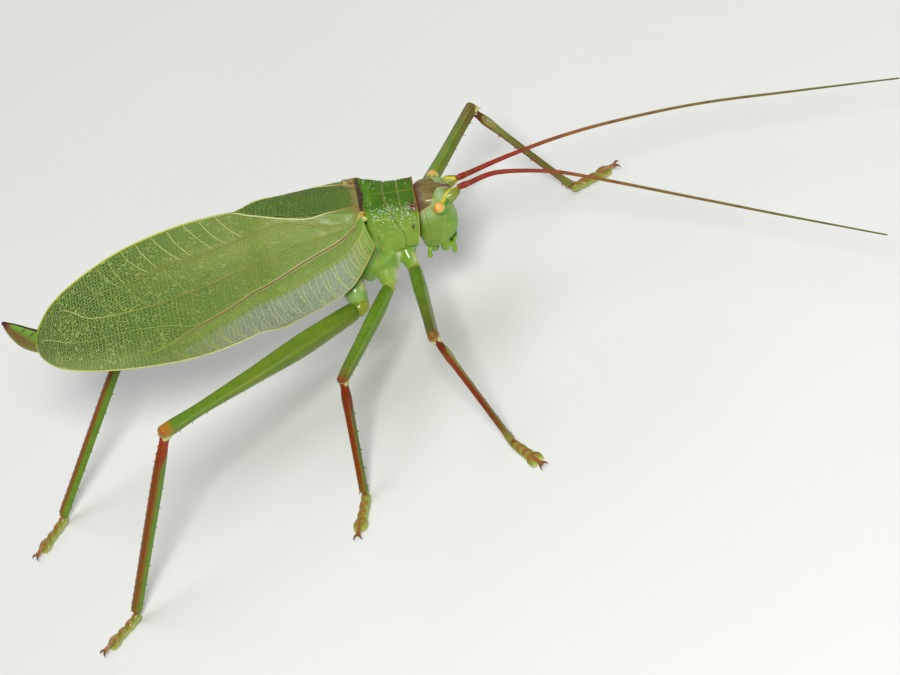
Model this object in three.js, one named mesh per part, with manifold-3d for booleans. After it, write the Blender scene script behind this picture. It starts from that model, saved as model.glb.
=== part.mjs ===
// Leaf katydid (long horned grasshopper), adult female, life size, as a still model.
// Millimetres, +X towards the head, +Y to the animal's left, +Z up; the feet stand on Z = 0.
// The head, thorax, abdomen and wings are made in a body frame whose origin is the middle of the
// pronotum's rear edge. That frame is pitched nose-down over the feet. The legs are worked out in
// the floor frame, from each hip, foothold and pair of segment lengths.
import * as THREE from 'three';
import { mergeVertices } from 'three/addons/utils/BufferGeometryUtils.js';
import Module from 'manifold-3d';

const wasm = await Module();
wasm.setup();

// ---------------------------------------------------------------- driving dimensions
const GAP = 0.25; // clearance between neighbouring pieces
const BODY_HEIGHT = 21; // body origin above the floor
const BODY_PITCH = 22; // degrees, nose down

const TEGMEN_THICKNESS = 0.55;
const HINDWING_THICKNESS = 0.5;
const ROOF_SLOPE = 24; // degrees between a tegmen's side field and the upright
const DORSAL_FIELD_LENGTH = 14.1;
const DORSAL_FIELD_HALF_WIDTH = 3.2;
const DORSAL_FIELD_TAPER = 0.5; // power of the share of its length that is left
const WING_CAMBER = 0.5;
const WING_TIP_SPLAY = 0.5;

const PRONOTUM_LENGTH = 5.65;
const PRONOTUM_HALF_WIDTH = 3.3;
const PRONOTUM_THICKNESS = 0.7;

const EYE_CENTRE = [7.5, 2.65, -1.38];
const EYE_RADIUS = 0.72;
const SOCKET_CENTRE = [9.25, 1.05, -1.12];
const ANTENNA_BASE = [10.08, 0.74, -0.62];
const SCAPE_RADIUS = 0.36;
const SCAPE_LENGTH = 1.0;
const PALP_RADIUS = 0.27;
const FEELER_RADII = [0.3, 0.29, 0.27, 0.25]; // base, two parting places, tip
const FEELER_PARTINGS = [0, 0.3, 0.64, 1];

const ANKLE_HEIGHT = 1;
const TARSUS_LENGTH = 5.2;

// Margins of the right tegmen seen from the side, as [x, z] pairs that face each other across the
// wing: the upper one runs along the back, the lower one is the free edge.
const UPPER_MARGIN = [
  [-0.75, 0.25], [-3.5, 0.48], [-8.5, 0.6], [-14.1, 0.9], [-20, 0.35],
  [-26, -1.4], [-31, -4.1], [-34.6, -7], [-36.5, -9.9], [-37.05, -11.5],
];
const LOWER_MARGIN = [
  [-0.3, -3.7], [-3.1, -7.1], [-8.2, -9.4], [-13.8, -11.5], [-19.8, -12.8],
  [-26, -13.2], [-31.3, -13.45], [-34.9, -13.35], [-36.6, -12.85], [-37.1, -12],
];

const LEFT = 1;
const RIGHT = -1;

// Sizes of one leg of each pair. Radii are half thicknesses: deep in the plane of the knee, wide
// across it. Spine counts are for one row.
const FORE = {
  coxa: { start: [3.3, 2.45, -6.6], end: [3.8, 3.9, -7.85], radius: 0.88 },
  femur: { length: 14.4, base: 0.74, belly: 0.82, knee: 0.66, flatness: 0.95, lead: 0.5, spines: 4 },
  tibia: { length: 14.35, knee: 0.46, swell: 0.7, shaft: 0.5, ankle: 0.5, spines: 0 },
};
const MIDDLE = {
  coxa: { start: [0.9, 2.6, -7.9], end: [0.9, 4.03, -9.5], radius: 1.1 },
  femur: { length: 12.8, base: 0.8, belly: 0.88, knee: 0.68, flatness: 0.9, lead: 0.55, spines: 4 },
  tibia: { length: 13.1, knee: 0.5, swell: 0.58, shaft: 0.56, ankle: 0.48, spines: 0 },
};
const HIND = {
  coxa: { start: [-3, 3.2, -8.7], end: [-2.43, 5.3, -10.45], radius: 1.3 },
  femur: { length: 26, base: 0.92, belly: 1.24, knee: 0.66, flatness: 0.78, lead: 0.9, spines: 5 },
  tibia: { length: 24.4, knee: 0.5, swell: 0.56, shaft: 0.56, ankle: 0.5, spines: 8 },
};

// Each leg's foothold on the floor, the way its foot points and how its knee leans, in degrees.
const LEGS = [
  { name: 'fore_left', pair: FORE, side: LEFT, ankle: [15.9, 10.5], heading: 4, lean: -26 },
  { name: 'fore_right', pair: FORE, side: RIGHT, ankle: [3.2, -22.9], heading: -62, lean: 3 },
  { name: 'mid_left', pair: MIDDLE, side: LEFT, ankle: [-13, 18.6], heading: 115, lean: -24 },
  { name: 'mid_right', pair: MIDDLE, side: RIGHT, ankle: [-14.2, -19.5], heading: -110, lean: -8 },
  { name: 'hind_left', pair: HIND, side: LEFT, ankle: [-49.9, 0.2], heading: -140, lean: 3 },
  { name: 'hind_right', pair: HIND, side: RIGHT, ankle: [-42.5, -20], heading: -150, lean: -17 },
];

// Routes of the antennae from the head to their tips, in the floor frame.
const FEELER_ROUTES = {
  left: [
    [14.7, 1.8, 15.3], [20.3, 2.4, 13.9], [26.4, 2.3, 12.3],
    [35.1, 0.2, 10.9], [45.5, -4.2, 9.8], [55.8, -9, 9],
  ],
  right: [
    [13.2, -0.7, 16], [17.6, -1.8, 14.2], [21.3, -3.6, 12.5],
    [32, -12, 9.4], [39.9, -19.4, 8.4], [49.5, -29, 8],
  ],
};

const COLOURS = {
  pronotum: 0x4f9a2a, cheek: 0x86b56a, flesh: 0x9cc583, femur: 0x6fae33, redShin: 0x8c3326,
  greenShin: 0x7a8f3c, foot: 0xb3b45a, tegmen: 0x5f9a49, hindwing: 0xa9c08c, eye: 0xe8a63c,
  feeler: 0xa8452e, feelerTip: 0x8a7448, ovipositor: 0x8a7a32, abdomen: 0x8fbb62, jaws: 0x79b83f,
};

// ---------------------------------------------------------------- ways of making shapes
const UP = new THREE.Vector3(0, 0, 1);
const vector = ([x, y, z]) => new THREE.Vector3(x, y, z);
const sided = ([x, y, z], side) => new THREE.Vector3(x, y * side, z);
const { lerp, clamp, degToRad } = THREE.MathUtils;

/** A smooth curve of value against place through a few [place, value] stops. */
function eased(stops) {
  return (place) => {
    const next = stops.findIndex(([at]) => at >= place);
    if (next === -1) return stops[stops.length - 1][1];
    if (next === 0) return stops[0][1];
    const [from, low] = stops[next - 1];
    const [to, high] = stops[next];
    return lerp(low, high, THREE.MathUtils.smoothstep(place, from, to));
  };
}

/** Merges shared points and turns every face outwards. */
function closed(geometry) {
  geometry.deleteAttribute('normal');
  geometry.deleteAttribute('uv');
  const merged = mergeVertices(geometry, 1e-4);
  const { array } = merged.attributes.position;
  const index = merged.index.array;
  const corner = (i) => new THREE.Vector3().fromArray(array, 3 * index[i]);
  let volume = 0;
  for (let i = 0; i < index.length; i += 3) {
    volume += corner(i).dot(corner(i + 1).cross(corner(i + 2)));
  }
  if (volume < 0) {
    for (let i = 0; i < index.length; i += 3) {
      [index[i + 1], index[i + 2]] = [index[i + 2], index[i + 1]];
    }
  }
  return merged;
}

/** A round body: a sphere's grid moved so that ring k lies where shape(angle, places[k]) says. */
function rounded(around, places, shape) {
  const rings = places.length - 1;
  const geometry = new THREE.SphereGeometry(1, around, rings);
  const { position, uv } = geometry.attributes;
  for (let i = 0; i < position.count; i += 1) {
    const ring = Math.round((1 - uv.getY(i)) * rings);
    const point = shape(2 * Math.PI * uv.getX(i), places[ring]);
    position.setXYZ(i, point.x, point.y, point.z);
  }
  return closed(geometry);
}

/** A plate: a box's grid moved by shape(along, across, layer), each from 0 to 1. */
function plate(alongSteps, acrossSteps, shape) {
  const geometry = new THREE.BoxGeometry(1, 1, 1, alongSteps, acrossSteps, 1);
  const { position } = geometry.attributes;
  for (let i = 0; i < position.count; i += 1) {
    const point = shape(position.getX(i) + 0.5, position.getY(i) + 0.5, position.getZ(i) + 0.5);
    position.setXYZ(i, point.x, point.y, point.z);
  }
  return closed(geometry);
}

/** Places of the rings on a bar with a round nose at each end. */
function ringPlaces(length, nose, tail, steps) {
  const places = [0, 0.22 * nose];
  for (let i = 0; i <= steps; i += 1) places.push(lerp(nose, length - tail, i / steps));
  places.push(length - 0.22 * tail, length);
  return places;
}

/** Share of the full section that is left at a place near a bar's round ends. */
function roundOff(place, length, nose, tail) {
  const left = Math.min(place / nose, 1);
  const right = Math.min((length - place) / tail, 1);
  return Math.sqrt(Math.max(0, 1 - (1 - left) ** 2)) * Math.sqrt(Math.max(0, 1 - (1 - right) ** 2));
}

/** A bar along +X with elliptical sections: deep(share) along Z, wide(share) along Y. */
function bar({ length, nose, tail, deep, wide, lift = () => 0, around = 8, steps = 5 }) {
  return rounded(around, ringPlaces(length, nose, tail, steps), (angle, place) => {
    const share = place / length;
    const fullness = roundOff(place, length, nose, tail);
    return new THREE.Vector3(
      place,
      wide(share) * fullness * Math.cos(angle),
      lift(share) + deep(share) * fullness * Math.sin(angle),
    );
  });
}

/** A tapering feeler of round section along part of a curve. */
function feeler(curve, from, to, startRadius, endRadius, steps, around = 6) {
  const total = curve.getLength();
  const length = total * (to - from);
  const places = ringPlaces(length, startRadius, endRadius, steps);
  return rounded(around, places, (angle, place) => {
    const share = from + place / total;
    const tangent = curve.getTangentAt(clamp(share, 0, 1));
    const across = new THREE.Vector3().crossVectors(UP, tangent).normalize();
    const rise = new THREE.Vector3().crossVectors(tangent, across);
    const radius = lerp(startRadius, endRadius, place / length)
      * roundOff(place, length, startRadius, endRadius);
    return curve.getPointAt(clamp(share, 0, 1))
      .addScaledVector(across, radius * Math.cos(angle))
      .addScaledVector(rise, radius * Math.sin(angle));
  });
}

/** An egg with its own radius each way. */
function egg(centre, radii, around = 8, rings = 5) {
  const geometry = closed(new THREE.SphereGeometry(1, around, rings));
  return geometry.scale(...radii).translate(...centre);
}

function toSolid(geometry) {
  return new wasm.Manifold(new wasm.Mesh({
    numProp: 3,
    vertProperties: new Float32Array(geometry.attributes.position.array),
    triVerts: new Uint32Array(geometry.index.array),
  }));
}

function toGeometry(solid) {
  const { vertProperties, triVerts } = solid.getMesh();
  const geometry = new THREE.BufferGeometry();
  geometry.setAttribute('position', new THREE.BufferAttribute(vertProperties, 3));
  geometry.setIndex(new THREE.BufferAttribute(triVerts, 1));
  return geometry;
}

const joined = (geometries) => toGeometry(
  geometries.map(toSolid).reduce((whole, piece) => whole.add(piece)),
);
const cut = (geometry, tools) => toGeometry(
  tools.map(toSolid).reduce((whole, tool) => whole.subtract(tool), toSolid(geometry)),
);

function piece(name, geometry, colour, roughness = 0.45) {
  const material = new THREE.MeshStandardMaterial({ color: colour, roughness, metalness: 0 });
  const mesh = new THREE.Mesh(geometry, material);
  mesh.name = name;
  return mesh;
}

/** Turns and moves a mesh so that its +X runs along a direction, with +Z towards up. */
function aim(mesh, start, direction, up) {
  const ahead = direction.clone().normalize();
  const across = new THREE.Vector3().crossVectors(up, ahead).normalize();
  const rise = new THREE.Vector3().crossVectors(ahead, across);
  mesh.quaternion.setFromRotationMatrix(new THREE.Matrix4().makeBasis(ahead, across, rise));
  mesh.position.copy(start);
  return mesh;
}

const sideName = (side) => (side === LEFT ? 'left' : 'right');

// ---------------------------------------------------------------- body
/** Signed power that squares up an ellipse: 1 keeps it, smaller values fill its corners. */
const squared = (value, power) => Math.sign(value) * Math.abs(value) ** power;

/** A barrel along X: half height, half width and middle height are curves of x. */
function barrel({ from, to, high, wide, middle, steps = 6, around = 12, blunt = 0.3, sag = 0 }) {
  const length = Math.abs(to - from);
  const way = Math.sign(to - from);
  return rounded(around, ringPlaces(length, blunt, blunt, steps), (angle, place) => {
    const x = from + way * place;
    const fullness = roundOff(place, length, blunt, blunt);
    return new THREE.Vector3(
      x,
      wide(x) * fullness * squared(Math.cos(angle), 0.9) * (1 - sag * Math.sin(angle)),
      middle(x) + high(x) * fullness * squared(Math.sin(angle), 0.9),
    );
  });
}

/** The saddle over the prothorax, an arch with upright sides cut slanting at both ends. */
function makePronotum() {
  const rearLean = 1.55;
  const frontLean = 0.55;
  const archPower = 0.42;
  const cornerLift = 0.6;
  const geometry = plate(5, 14, (along, across, layer) => {
    const inset = layer * PRONOTUM_THICKNESS;
    const top = lerp(0, -0.48, along) - inset;
    const low = lerp(-6.05, -5.36, along);
    const half = PRONOTUM_HALF_WIDTH - 0.25 * Math.sin(Math.PI * along) - 0.15 * along - inset;
    const angle = (across - 0.5) * Math.PI;
    const drop = 1 - Math.abs(Math.cos(angle)) ** archPower;
    const flare = (1 - along) ** 2 * Math.sin(2 * angle) ** 2;
    const rear = -0.37 + rearLean * drop ** 1.5;
    const front = -0.37 + PRONOTUM_LENGTH - frontLean * drop ** 2;
    return new THREE.Vector3(
      lerp(rear, front, along),
      half * squared(Math.sin(angle), archPower) * (1 + 0.06 * flare),
      lerp(top, low, drop) + cornerLift * flare,
    );
  });
  return piece('pronotum', geometry, COLOURS.pronotum);
}

/** A coxa, the short stout joint that hangs each leg from the thorax, `grown` all round. */
function coxaShape({ start, end, radius }, side, grown = 0) {
  const from = sided(start, side);
  const ahead = sided(end, side).sub(from);
  const geometry = bar({
    length: ahead.length() + 0.5 * radius + 2 * grown,
    nose: 0.8 * radius,
    tail: 0.8 * radius,
    deep: () => radius + grown,
    wide: () => radius + grown,
    steps: 1,
  });
  ahead.normalize();
  const mesh = aim(new THREE.Mesh(geometry), from.addScaledVector(ahead, -0.5 * radius - grown), ahead, UP);
  mesh.updateMatrix();
  return geometry.applyMatrix4(mesh.matrix);
}

/** The two barrels that carry the legs, hollowed where the coxae sit. */
function makeThorax() {
  const front = barrel({
    from: 0.6,
    to: 5.05,
    high: () => 2.75,
    wide: () => 2.1,
    middle: () => -4.4,
    steps: 2,
    blunt: 0.6,
    sag: 0.12,
  });
  const rear = barrel({
    from: 0.35,
    to: -7.6,
    high: eased([[-7.6, 3], [-3, 3.8], [0.35, 3.3]]),
    wide: eased([[-7.6, 2.2], [-3, 2.95], [0.35, 2.75]]),
    middle: eased([[-7.6, -5.2], [0.35, -5.2]]),
    steps: 4,
    blunt: 0.8,
    sag: 0.2,
  });
  const hollows = (...sizes) => sizes.flatMap((size) => (
    [LEFT, RIGHT].map((side) => coxaShape(size.coxa, side, GAP))
  ));
  return [
    piece('prothorax', cut(front, hollows(FORE)), COLOURS.flesh),
    piece('thorax', cut(rear, hollows(MIDDLE, HIND)), COLOURS.flesh),
  ];
}

function makeAbdomen() {
  const partings = [-7.85, -14.2, -20.6, -26.4];
  const names = ['abdomen_front', 'abdomen_middle', 'abdomen_rear'];
  const high = eased([[-26.4, 1.4], [-20, 2.5], [-12, 3], [-7.85, 2.9]]);
  const wide = eased([[-26.4, 1], [-20, 1.75], [-12, 2], [-7.85, 1.9]]);
  const middle = eased([[-26.4, -9.4], [-17, -7.5], [-7.85, -5.9]]);
  return names.map((name, i) => {
    const shape = { from: partings[i] - (i ? GAP : 0), to: partings[i + 1], high, wide, middle };
    return piece(name, barrel({ ...shape, steps: 3 }), COLOURS.abdomen);
  });
}

/** The short, broad, upturned blade that lays the eggs. */
function makeOvipositor() {
  const line = new THREE.CatmullRomCurve3(
    [[-26.8, 0, -9.7], [-31.5, 0, -11.5], [-36.6, 0, -11.9], [-40.25, 0, -8.15]].map(vector),
  );
  const depth = eased([[0, 1], [0.55, 1.5], [0.72, 1.5], [1, 0.28]]);
  const thickness = eased([[0, 0.55], [0.6, 0.36], [1, 0.26]]);
  const length = line.getLength();
  const geometry = rounded(8, ringPlaces(length, 0.4, 0.25, 9), (angle, place) => {
    const share = clamp(place / length, 0, 1);
    const tangent = line.getTangentAt(share);
    const rise = new THREE.Vector3(tangent.z, 0, -tangent.x);
    const fullness = roundOff(place, length, 0.4, 0.25);
    return line.getPointAt(share)
      .addScaledVector(rise, depth(share) * fullness * Math.sin(angle))
      .add(new THREE.Vector3(0, thickness(share) * fullness * Math.cos(angle), 0));
  });
  return piece('ovipositor', geometry, COLOURS.ovipositor, 0.3);
}

function makeCercus(side) {
  const geometry = bar({
    length: 1.9,
    nose: 0.3,
    tail: 0.25,
    deep: eased([[0, 0.34], [1, 0.25]]),
    wide: eased([[0, 0.34], [1, 0.25]]),
    steps: 2,
    around: 6,
  });
  const mesh = piece(`cercus_${sideName(side)}`, geometry, COLOURS.abdomen);
  return aim(mesh, sided([-26.75, 0.95, -8.4], side), sided([-1.7, 0.5, 0.2], side), UP);
}

// ---------------------------------------------------------------- head
function makeHead() {
  const crown = 0.45;
  const chin = 6.9;
  const rear = eased([[0, 6.3], [0.5, 5.75], [1.2, 5.6], [4.8, 5.45], [6.3, 5.45], [6.7, 5.9]]);
  const front = eased([[0, 8.5], [0.6, 9.05], [2, 9.3], [4.6, 9.45], [6.4, 8.85]]);
  const half = eased([[0, 1.5], [0.5, 2.2], [2.3, 2.75], [4.4, 2.65], [5.9, 2.4], [6.7, 1.6]]);
  const places = ringPlaces(chin - crown, 0.5, 0.5, 6);
  const skull = rounded(14, places, (angle, place) => {
    const fullness = roundOff(place, chin - crown, 0.5, 0.5);
    const centre = (rear(place) + front(place)) / 2;
    return new THREE.Vector3(
      centre + ((front(place) - rear(place)) / 2) * fullness * squared(Math.cos(angle), 0.85),
      half(place) * fullness * squared(Math.sin(angle), 0.85),
      -crown - place,
    );
  });
  const knob = egg([8.55, 0, -0.92], [0.5, 0.26, 0.34]);
  const sockets = [LEFT, RIGHT].map((side) => {
    const [x, y, z] = SOCKET_CENTRE;
    const cone = closed(new THREE.CylinderGeometry(0.42, 0.72, 1.25, 10));
    cone.rotateZ(-Math.PI / 2).rotateY(degToRad(-26)).rotateZ(degToRad(-12 * side));
    return cone.translate(x, y * side, z);
  });
  const orbits = [LEFT, RIGHT].map((side) => {
    const [x, y, z] = EYE_CENTRE;
    return egg([x, y * side, z], Array(3).fill(EYE_RADIUS + 0.2), 10, 6);
  });
  return piece('head', cut(joined([skull, knob, ...sockets]), orbits), COLOURS.cheek);
}

function makeEye(side) {
  const ball = egg([0, 0, 0], Array(3).fill(EYE_RADIUS), 12, 7);
  const mesh = piece(`eye_${sideName(side)}`, ball, COLOURS.eye, 0.15);
  mesh.position.copy(sided(EYE_CENTRE, side));
  return mesh;
}

function makeMouth() {
  const pieces = [piece('jaws', egg([7.75, 0, -7.72], [1.05, 1.3, 0.56], 12, 6), COLOURS.jaws)];
  [LEFT, RIGHT].forEach((side) => {
    const upper = new THREE.CatmullRomCurve3(
      [[6.6, 1.85, -7.2], [7.6, 1.95, -7.75], [8.5, 1.65, -8.6]].map((p) => sided(p, side)),
    );
    const lower = new THREE.CatmullRomCurve3(
      [[6.3, 1, -7.45], [6, 1.35, -8.1], [5.7, 1.95, -8.6]].map((p) => sided(p, side)),
    );
    const feelers = { maxillary: upper, labial: lower };
    Object.entries(feelers).forEach(([kind, curve]) => {
      const shape = feeler(curve, 0, 1, PALP_RADIUS, PALP_RADIUS, 3);
      pieces.push(piece(`${kind}_palp_${sideName(side)}`, shape, COLOURS.jaws));
    });
  });
  return pieces;
}

// ---------------------------------------------------------------- wings
const splineOf = (pairs) => new THREE.SplineCurve(pairs.map(([x, z]) => new THREE.Vector2(x, z)));
const upperMargin = splineOf(UPPER_MARGIN);
const lowerMargin = splineOf(LOWER_MARGIN);

/**
 * A point of the folded wing. `along` runs from shoulder to tip and `across` from the back to the
 * free edge: first over the flat dorsal field, then down the sloping side field. `sunk` is the
 * distance below the outer surface.
 */
function wingPoint(side, along, across, sunk) {
  const upper = upperMargin.getPoint(along);
  const lower = lowerMargin.getPoint(along);
  const slope = degToRad(ROOF_SLOPE);
  const fieldShare = clamp(1 + upper.x / DORSAL_FIELD_LENGTH, 0, 1);
  const flatWidth = DORSAL_FIELD_HALF_WIDTH * fieldShare ** DORSAL_FIELD_TAPER;
  const fall = upper.distanceTo(lower);
  const sideWidth = fall / Math.cos(slope);
  // Behind the dorsal field the wings meet in a ridge, and the inner layers start lower down.
  const buried = Math.max(0, sunk * Math.cos(slope) - flatWidth);
  const start = buried > 0 ? Math.min(flatWidth + buried / Math.sin(slope), 0.4 * sideWidth) : 0;
  const walked = lerp(start, flatWidth + sideWidth, across);
  const down = clamp((walked - flatWidth) / sideWidth, 0, 1);
  const splay = WING_TIP_SPLAY * Math.max(0, (along - 0.7) / 0.3) ** 2;
  const bulge = WING_CAMBER * 4 * down * (1 - down);
  const steep = walked < flatWidth ? 0 : THREE.MathUtils.smoothstep(walked, flatWidth - 1, flatWidth + 1);
  const tilt = flatWidth > TEGMEN_THICKNESS ? steep : 1;
  const inward = new THREE.Vector2(Math.cos(slope) * tilt, -lerp(1, Math.sin(slope), tilt)).normalize();
  const sink = sunk - bulge;
  const outward = GAP / 2 + splay + Math.min(walked, flatWidth) + fall * down * Math.tan(slope);
  return new THREE.Vector3(
    lerp(upper.x, lower.x, down),
    side * (outward - inward.x * sink),
    lerp(upper.y, lower.y, down) + inward.y * sink,
  );
}

function makeTegmen(side) {
  const geometry = plate(16, 7, (along, across, layer) => (
    wingPoint(side, along, across, layer * TEGMEN_THICKNESS)
  ));
  return piece(`tegmen_${sideName(side)}`, geometry, COLOURS.tegmen, 0.5);
}

/** The folded hind wing, which lies inside the tegmen. */
function makeHindwing(side) {
  const geometry = plate(8, 3, (along, across, layer) => wingPoint(
    side,
    lerp(0.13, 0.84, along),
    lerp(0.44, 0.8, across),
    TEGMEN_THICKNESS + GAP + layer * HINDWING_THICKNESS,
  ));
  return piece(`hindwing_${sideName(side)}`, geometry, COLOURS.hindwing, 0.4);
}

// ---------------------------------------------------------------- antennae
function makeAntenna(side, bodyToFloor) {
  const base = sided(ANTENNA_BASE, side).applyMatrix4(bodyToFloor);
  const route = FEELER_ROUTES[sideName(side)].map(vector);
  const ahead = route[0].clone().sub(base).normalize();
  const start = base.clone().addScaledVector(ahead, SCAPE_LENGTH + GAP);
  const curve = new THREE.CatmullRomCurve3([start, ...route], false, 'centripetal');
  const scape = bar({
    length: SCAPE_LENGTH,
    nose: 0.15,
    tail: 0.15,
    deep: () => SCAPE_RADIUS,
    wide: () => SCAPE_RADIUS,
    steps: 1,
  });
  const meshes = [aim(piece(`scape_${sideName(side)}`, scape, COLOURS.feeler), base, ahead, UP)];
  const gapShare = GAP / curve.getLength();
  ['base', 'middle', 'tip'].forEach((part, i) => {
    const from = FEELER_PARTINGS[i] + (i ? gapShare : 0);
    const geometry = feeler(curve, from, FEELER_PARTINGS[i + 1], FEELER_RADII[i], FEELER_RADII[i + 1], 6);
    const colour = i === 2 ? COLOURS.feelerTip : COLOURS.feeler;
    meshes.push(piece(`antenna_${sideName(side)}_${part}`, geometry, colour));
  });
  return meshes;
}

// ---------------------------------------------------------------- legs
/** Where the knee lies for a hip, an ankle, two segment lengths and the lean of the knee. */
function bendLeg(hip, ankle, upperLength, lowerLength, lean) {
  const span = hip.distanceTo(ankle);
  const axis = ankle.clone().sub(hip).divideScalar(span);
  const reach = (upperLength ** 2 - lowerLength ** 2 + span ** 2) / (2 * span);
  const rise = Math.sqrt(upperLength ** 2 - reach ** 2);
  const outer = UP.clone().addScaledVector(axis, -axis.z).normalize();
  outer.applyAxisAngle(axis, degToRad(lean));
  const knee = hip.clone().addScaledVector(axis, reach).addScaledVector(outer, rise);
  return { knee, outer };
}

/** A row of small thorns along a bar: rooted at `depth` from the axis, leaning towards the tip. */
function thorns(count, from, to, angle, depth, height) {
  return Array.from({ length: count }, (_, i) => {
    const place = lerp(from, to, count > 1 ? i / (count - 1) : 0);
    const thorn = closed(new THREE.ConeGeometry(0.2, height, 3));
    thorn.translate(0, height / 2, 0).rotateZ(degToRad(-25)).translate(0, depth, 0);
    return thorn.rotateX(angle).translate(place, 0, 0);
  });
}

function makeFemur(name, size, hip, knee, outer) {
  const ahead = knee.clone().sub(hip).normalize();
  const length = size.length - size.lead + size.knee;
  const deep = eased([[0, size.base], [0.2, size.belly], [0.55, lerp(size.belly, size.knee, 0.6)],
    [0.85, size.knee * 0.92], [1, size.knee]]);
  const wide = (share) => Math.max(0.3, deep(share) * lerp(size.flatness, 1, share));
  let geometry = bar({ length, nose: size.base, tail: size.knee, deep, wide, steps: 5 });
  const under = -Math.PI / 2;
  const row = thorns(size.spines, 0.62 * length, 0.92 * length, under, size.knee * 0.75, 0.5);
  geometry = joined([geometry, ...row]);
  const start = hip.clone().addScaledVector(ahead, size.lead);
  return aim(piece(`femur_${name}`, geometry, COLOURS.femur), start, ahead, outer);
}

function makeTibia(name, size, femur, knee, ankle, outer) {
  const ahead = ankle.clone().sub(knee).normalize();
  const lead = femur.knee + GAP;
  const length = knee.distanceTo(ankle) - lead;
  const deep = eased([[0, size.knee], [0.06, size.knee], [0.16, size.swell], [0.3, size.shaft],
    [0.9, size.shaft * 0.94], [1, size.ankle]]);
  let geometry = bar({ length, nose: size.knee, tail: size.ankle * 0.7, deep, wide: deep, steps: 6 });
  const splay = degToRad(38);
  [-splay, splay].forEach((angle) => {
    const upright = Math.PI / 2 + angle;
    const row = thorns(size.spines, 0.1 * length, 0.94 * length, upright, size.shaft * 0.8, 0.5);
    if (row.length) geometry = joined([geometry, ...row]);
  });
  const start = knee.clone().addScaledVector(ahead, lead);
  const colour = name.startsWith('fore_left') ? COLOURS.greenShin : COLOURS.redShin;
  return aim(piece(`tibia_${name}`, geometry, colour, 0.3), start, ahead, outer);
}

/** A four-jointed foot: three lobed pads flat on the floor, a raised claw joint and two claws. */
function makeTarsus(name, ankle, heading) {
  const outline = [
    { at: 0, wide: 0.1, under: 0.3, over: 0.8 },
    { at: 0.15, wide: 0.34, under: 0.1, over: 0.98 },
    { at: 0.6, wide: 0.46, under: 0, over: 0.9 },
    { at: 1.15, wide: 0.38, under: 0, over: 0.7 },
    { at: 1.7, wide: 0.54, under: 0, over: 0.74 },
    { at: 2.1, wide: 0.4, under: 0, over: 0.6 },
    { at: 2.6, wide: 0.68, under: 0, over: 0.66 },
    { at: 3.25, wide: 0.84, under: 0, over: 0.6 },
    { at: 3.7, wide: 0.5, under: 0, over: 0.68 },
    { at: 3.85, wide: 0.26, under: 0.16, over: 0.72 },
    { at: TARSUS_LENGTH, wide: 0.26, under: 0.1, over: 0.64 },
    { at: TARSUS_LENGTH + 0.15, wide: 0.08, under: 0.25, over: 0.5 },
  ];
  const soleFlatness = 1.45; // squares the underside so that its middle lies flat
  const sole = rounded(8, outline, (angle, { at, wide, under, over }) => {
    const pole = at === 0 || at > TARSUS_LENGTH;
    const rise = Math.max(-1, Math.sin(angle) * (Math.sin(angle) < 0 ? soleFlatness : 1));
    const half = pole ? 0 : (over - under) / 2;
    return new THREE.Vector3(at, pole ? 0 : wide * Math.cos(angle), (over + under) / 2 + half * rise);
  });
  const claws = [LEFT, RIGHT].map((side) => {
    const claw = closed(new THREE.CylinderGeometry(0.12, 0.25, 0.85, 4));
    claw.rotateZ(-Math.PI / 2).translate(0.3, 0, 0);
    return claw.rotateY(degToRad(12)).rotateZ(degToRad(38 * side)).translate(TARSUS_LENGTH - 0.25, 0, 0.42);
  });
  const mesh = piece(`tarsus_${name}`, joined([sole, ...claws]), COLOURS.foot);
  mesh.position.set(ankle.x, ankle.y, 0);
  mesh.rotation.z = degToRad(heading);
  return mesh;
}

function makeLeg({ name, pair, side, ankle, heading, lean }, bodyToFloor) {
  const hip = sided(pair.coxa.end, side).applyMatrix4(bodyToFloor);
  const foothold = new THREE.Vector3(ankle[0], ankle[1], ANKLE_HEIGHT);
  const { knee, outer } = bendLeg(hip, foothold, pair.femur.length, pair.tibia.length, lean);
  return [
    makeFemur(name, pair.femur, hip, knee, outer),
    makeTibia(name, pair.tibia, pair.femur, knee, foothold, outer),
    makeTarsus(name, foothold, heading),
  ];
}

// ---------------------------------------------------------------- the whole animal
const body = new THREE.Group();
body.position.z = BODY_HEIGHT;
body.rotation.y = degToRad(BODY_PITCH);
body.updateMatrix();
body.add(makeHead(), ...makeMouth(), makePronotum(), ...makeThorax(), ...makeAbdomen(), makeOvipositor());

const model = new THREE.Group();
model.add(body);
[LEFT, RIGHT].forEach((side) => {
  body.add(makeEye(side), makeCercus(side), makeTegmen(side), makeHindwing(side));
  model.add(...makeAntenna(side, body.matrix));
});
LEGS.forEach((leg) => {
  body.add(piece(`coxa_${leg.name}`, coxaShape(leg.pair.coxa, leg.side), COLOURS.flesh));
  model.add(...makeLeg(leg, body.matrix));
});

// The origin is the middle of the underside of the box round the whole animal.
const box = new THREE.Box3().setFromObject(model, true);
const middle = box.getCenter(new THREE.Vector3());
model.position.set(-middle.x, -middle.y, -box.min.z);
model.updateMatrixWorld(true);

export default model;
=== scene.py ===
"""Leaf katydid, a long horned grasshopper, adult female, life size, standing still.

Lengths in this file are millimetres until a mesh is written, and metres from then on. The head,
thorax, abdomen and wings are worked out in a body frame: origin at the middle of the pronotum's
rear edge, +X to the head, +Y to the animal's left, +Z up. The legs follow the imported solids.
Colours are display colours from 0 to 255 until they are laid on a surface.
"""
import logging
import math
from dataclasses import dataclass, field
from enum import Enum
from typing import Callable, Sequence

import bpy
import numpy as np
from mathutils import Matrix, Vector


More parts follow.
